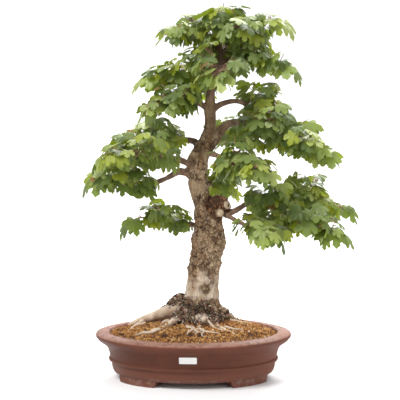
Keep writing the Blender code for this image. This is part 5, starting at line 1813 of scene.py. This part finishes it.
class Foliage:
    """Collects the corners, faces and notes of one spray's blades, stalks and twigs."""

    def __init__(self):
        self.points, self.faces, self.looks = [], [], []
        self.notes = {"tone": [], "young": [], "bronze": [], "under": []}
        self.place = []
        self.count = 0

    def add(self, points, faces, look, tone, young=0.0, bronze=0.0, under=0.0, place=(0.0, 0.0, 0.0)):
        size = len(points)
        self.points.append(points)
        self.faces += [tuple(k + self.count for k in face) for face in faces]
        self.looks += [look] * len(faces)
        self.notes["tone"].append(np.full(size, tone))
        self.notes["young"].append(np.full(size, young))
        self.notes["bronze"].append(np.full(size, bronze))
        self.notes["under"].append(np.broadcast_to(under, size))
        self.place.append(np.broadcast_to(place, (size, 3)))
        self.count += size

    def add_blade(self, leaf, template, tone, young, bronze, rng):
        """A thin solid blade of the leaf's own size and arch, with a gentle wave of its own."""
        _, seat, along, up, length, _, arch, fold = leaf
        length *= rng.uniform(*PACKED_LEAF_SIZE) if length > SHOOT_LEAF_LENGTH[1] else 1.0
        corners, triangles, border = template
        side = along.cross(up).normalized()
        up = side.cross(along)
        skew = 1 + rng.uniform(-0.08, 0.08) * np.sign(corners[:, 1])
        u = corners[:, 0] * (1 + rng.uniform(-0.05, 0.05))
        v = corners[:, 1] * skew * LEAF_BREADTH * (1 + rng.uniform(-0.08, 0.08))
        share = np.hypot(u, v)
        lift = fold * np.abs(v) - (arch + rng.uniform(*DOME)) * share**2
        lift += 0.018 * np.sin(7 * v + rng.uniform(0, 6)) * np.sin(5 * u + rng.uniform(0, 6))
        middle = np.array(seat) + length * (
            np.outer(u, along) + np.outer(v, side) + np.outer(lift, up)
        )
        a, b, c = (middle[triangles[:, k]] for k in range(3))
        facing = np.zeros_like(middle)
        for k in range(3):
            np.add.at(facing, triangles[:, k], np.cross(b - a, c - a))
        facing /= np.linalg.norm(facing, axis=1)[:, None] + 1e-12
        if np.dot(facing.mean(axis=0), np.array(up)) < 0:
            facing = -facing
            triangles = triangles[:, ::-1]
            border = border[:, ::-1]
        half = facing * FINE_THICKNESS / 2
        size = len(middle)
        points = np.vstack([middle + half, middle - half])
        faces = [tuple(face) for face in triangles]
        faces += [tuple(face[::-1] + size) for face in triangles]
        faces += [(a, a + size, b + size, b) for a, b in border]
        under = np.repeat((0.0, 1.0), size)
        place = np.tile(np.column_stack([corners, share]), (2, 1))
        self.add(points, faces, 0, tone, young, bronze, under, place)

    def add_stalk(self, leaf, tone):
        """The long thin petiole, bowed down a little."""
        root, seat, along, _, length, _, _, _ = leaf
        back = root - (seat - root).normalized() * PETIOLE_SUNK
        bow = (root + seat) / 2 - UP * (seat - root).length * 0.06
        ahead = seat + along * length * 0.03
        route = [(*spot, radius) for spot, radius in zip((back, bow, seat, ahead), PETIOLE_RADII)]
        points, faces = tube(route, 4)
        self.add(np.vstack(points), faces, 2, tone)

    def add_wood(self, route, sides, steps):
        points, faces = tube(curve_through(route, steps), sides)
        self.add(np.vstack(points), faces, 1, 0.5)

    def piece(self, name, looks):
        made = add_piece(name, np.vstack(self.points), self.faces, looks)
        mesh = made.data
        mesh.polygons.foreach_set("material_index", self.looks)
        for note, values in self.notes.items():
            store(mesh, note, np.concatenate(values))
        place = mesh.attributes.new("place", "FLOAT_VECTOR", "POINT")
        place.data.foreach_set("vector", np.concatenate(self.place).astype(np.float32).ravel())
        mesh.set_sharp_from_angle(angle=math.radians(65))
        return made


def make_leaf_veins():
    """Midrib and the main vein of each side lobe, as lines that thin out towards the tips."""
    inputs = (("Place", "NodeSocketVector", (0.0, 0.0, 0.0)), ("Width", "NodeSocketFloat", 0.016))
    group, start, end = new_effect("leaf_veins", inputs, (("Mask", "NodeSocketFloat"),))
    split = put(group, "ShaderNodeSeparateXYZ")
    group.links.new(start.outputs["Place"], split.inputs[0])
    across = put(group, "ShaderNodeMath", operation="ABSOLUTE")
    group.links.new(split.outputs["Y"], across.inputs[0])
    nearest = across.outputs[0]
    for degrees in VEIN_ANGLES:
        angle = math.radians(degrees)
        turned = put(group, "ShaderNodeMath", operation="MULTIPLY")
        turned.inputs[1].default_value = math.sin(angle)
        group.links.new(split.outputs["X"], turned.inputs[0])
        other = put(group, "ShaderNodeMath", operation="MULTIPLY")
        other.inputs[1].default_value = math.cos(angle)
        group.links.new(across.outputs[0], other.inputs[0])
        gap = put(group, "ShaderNodeMath", operation="SUBTRACT")
        group.links.new(turned.outputs[0], gap.inputs[0])
        group.links.new(other.outputs[0], gap.inputs[1])
        size = put(group, "ShaderNodeMath", operation="ABSOLUTE")
        group.links.new(gap.outputs[0], size.inputs[0])
        smaller = put(group, "ShaderNodeMath", operation="MINIMUM")
        group.links.new(nearest, smaller.inputs[0])
        group.links.new(size.outputs[0], smaller.inputs[1])
        nearest = smaller.outputs[0]
    line = put(group, "ShaderNodeMapRange", {"From Min": 0.0, "To Min": 1.0, "To Max": 0.0})
    group.links.new(nearest, line.inputs["Value"])
    group.links.new(start.outputs["Width"], line.inputs["From Max"])
    group.links.new(line.outputs["Result"], end.inputs["Mask"])
    return group


def leaf_look():
    """Satin green blades, each with its own tone, that glow where light comes through."""
    look, tree, shader = new_look("leaf", 0.43)
    shader.inputs["Specular IOR Level"].default_value = 0.5
    blotch = mask_from(tree, mottle, Scale=130.0, Low=0.35, High=0.7)
    colour = stain(tree, tone_ramp(tree, LEAF_TONES), blotch, 0.3, (0.15, 0.20, 0.07))
    colour = mix_colour(tree, read_mask(tree, "young"), colour, (0.32, 0.37, 0.04))
    colour = mix_colour(tree, read_mask(tree, "bronze"), colour, (0.32, 0.13, 0.07))
    pale = mix_colour(tree, 0.35, colour, (0.24, 0.29, 0.12))
    colour = mix_colour(tree, read_mask(tree, "under"), colour, pale)
    place = put(tree, "ShaderNodeAttribute", attribute_name="place").outputs["Vector"]
    veins = mask_from(tree, leaf_veins, Place=place)
    creases = mask_from(tree, leaf_veins, Place=place, Width=0.16)
    colour = stain(tree, colour, veins, 0.45, (0.34, 0.42, 0.18))
    tree.links.new(colour, shader.inputs["Base Color"])
    bump = put(tree, "ShaderNodeBump", {"Strength": 0.7, "Distance": 0.0009}, invert=True)
    tree.links.new(creases, bump.inputs["Height"])
    tree.links.new(bump.outputs["Normal"], shader.inputs["Normal"])
    glow = put(tree, "ShaderNodeBsdfTranslucent")
    through = mix_colour(tree, read_mask(tree, "tone"), (0.42, 0.52, 0.03), (0.72, 0.78, 0.05))
    through = mix_colour(tree, read_mask(tree, "young"), through, (0.66, 0.68, 0.06))
    tree.links.new(through, glow.inputs["Color"])
    blend = put(tree, "ShaderNodeMixShader", {0: 0.44})
    tree.links.new(shader.outputs[0], blend.inputs[1])
    tree.links.new(glow.outputs[0], blend.inputs[2])
    tree.links.new(blend.outputs[0], tree.nodes["Material Output"].inputs["Surface"])
    return look


def twig_look():
    look, tree, shader = new_look("twig_bark", 0.7)
    streaks = mask_from(tree, mottle, Scale=240.0, Low=0.35, High=0.65)
    colour = mix_colour(tree, streaks, (0.105, 0.052, 0.034), (0.260, 0.155, 0.100))
    tree.links.new(colour, shader.inputs["Base Color"])
    grain_bump(tree, shader, 900.0, 0.0003)
    return look


def petiole_look():
    look, tree, shader = new_look("petiole", 0.5)
    colour = mix_colour(tree, read_mask(tree, "tone"), (0.40, 0.34, 0.12), (0.48, 0.20, 0.15))
    tree.links.new(colour, shader.inputs["Base Color"])
    grain_bump(tree, shader, 1200.0, 0.0001)
    return look


leaf_veins = make_leaf_veins()
leaf_looks = [leaf_look(), twig_look(), petiole_look()]
templates = {
    len(FIVE_LOBES): blade_template(FIVE_LOBED_HALF),
    len(THREE_LOBES): blade_template(THREE_LOBED_HALF),
}
for number, (twig, shoots, leaves) in enumerate(place_all_leaves(), start=1):
    rng = random.Random(7000 + number)
    foliage = Foliage()
    base, collar = Vector(twig[0][:3]), Vector(twig[1][:3])
    sunk = base - (collar - base).normalized() * TWIG_SUNK
    foliage.add_wood([(*sunk, twig[0][3]), *twig], 7, 3)
    for route in shoots:
        foliage.add_wood(route, 5, 2)
    for leaf, age in leaves:
        tone = rng.betavariate(1.3, 1.5)
        foliage.add_blade(leaf, templates[len(leaf[5])], tone, 0.85 * (age == 1), float(age == 2), rng)
        foliage.add_stalk(leaf, rng.random())
    spray = foliage.piece(f"spray_{number:02d}", leaf_looks)
    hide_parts(f"leafy_spray_{number:02d}")


# Floor and light
# A plain pale sweep with soft daylight from above and in front, and a bright backdrop.
# The sweep can't be seen from behind, so the tree can be looked at from every side.

FLOOR_FRONT, FLOOR_BACK, SWEEP_RADIUS, SWEEP_HEIGHT = -3.5, 1.6, 0.9, 4.0
FLOOR_HALF_WIDTH = 5.0
SWEEP_STEPS = 16
LIGHTS = (
    ("key", (-1.3, -1.5, 2.6), (0.0, 0.0, 0.4), 1.1, 92),
    ("fill", (1.8, -1.6, 1.0), (0.0, 0.0, 0.4), 1.6, 20),
    ("back", (0.4, 1.3, 1.9), (0.0, 0.0, 0.5), 1.6, 100),
)


def floor_look():
    look, tree, shader = new_look("pale_floor", 0.9)
    cloudy = mask_from(tree, mottle, Scale=2.0, Low=0.2, High=0.8)
    colour = mix_colour(tree, cloudy, (0.84, 0.84, 0.84), (0.88, 0.88, 0.88))
    tree.links.new(colour, shader.inputs["Base Color"])
    side = put(tree, "ShaderNodeNewGeometry")
    front = put(tree, "ShaderNodeMath", {0: 1.0}, operation="SUBTRACT")
    tree.links.new(side.outputs["Backfacing"], front.inputs[1])
    tree.links.new(front.outputs[0], shader.inputs["Alpha"])
    return look


sweep = [(FLOOR_FRONT, 0.0), (FLOOR_BACK, 0.0)]
for step in range(1, SWEEP_STEPS + 1):
    angle = math.radians(90 * step / SWEEP_STEPS)
    sweep.append((FLOOR_BACK + SWEEP_RADIUS * math.sin(angle), SWEEP_RADIUS * (1 - math.cos(angle))))
sweep.append((FLOOR_BACK + SWEEP_RADIUS, SWEEP_HEIGHT))
floor_points = [(side * FLOOR_HALF_WIDTH, y, z) for y, z in sweep for side in (-1, 1)]
floor_faces = [(2 * k, 2 * k + 1, 2 * k + 3, 2 * k + 2) for k in range(len(sweep) - 1)]
floor_mesh = bpy.data.meshes.new("floor")
floor_mesh.from_pydata(floor_points, [], floor_faces)
floor_mesh.shade_smooth()
floor_mesh.materials.append(floor_look())
floor = bpy.data.objects.new("floor", floor_mesh)
bpy.context.scene.collection.objects.link(floor)


def area_light(name, place, target, size, power):
    data = bpy.data.lights.new(name, "AREA")
    data.size = size
    data.energy = power
    light = bpy.data.objects.new(name, data)
    light.location = Vector(place) + pot_middle
    light.rotation_euler = (Vector(target) - Vector(place)).to_track_quat("-Z", "Y").to_euler()
    bpy.context.scene.collection.objects.link(light)


for row in LIGHTS:
    area_light(*row)
world = bpy.data.worlds.new("daylight")
world.use_nodes = True
sky = world.node_tree.nodes["Background"]
sky.inputs["Color"].default_value = (0.95, 0.97, 1.0, 1.0)
sky.inputs["Strength"].default_value = 0.5
bpy.context.scene.world = world
bpy.context.scene.view_settings.view_transform = "Standard"


# Finish
# The view layer is brought up to date, so every piece is in place.

bpy.context.view_layer.update()
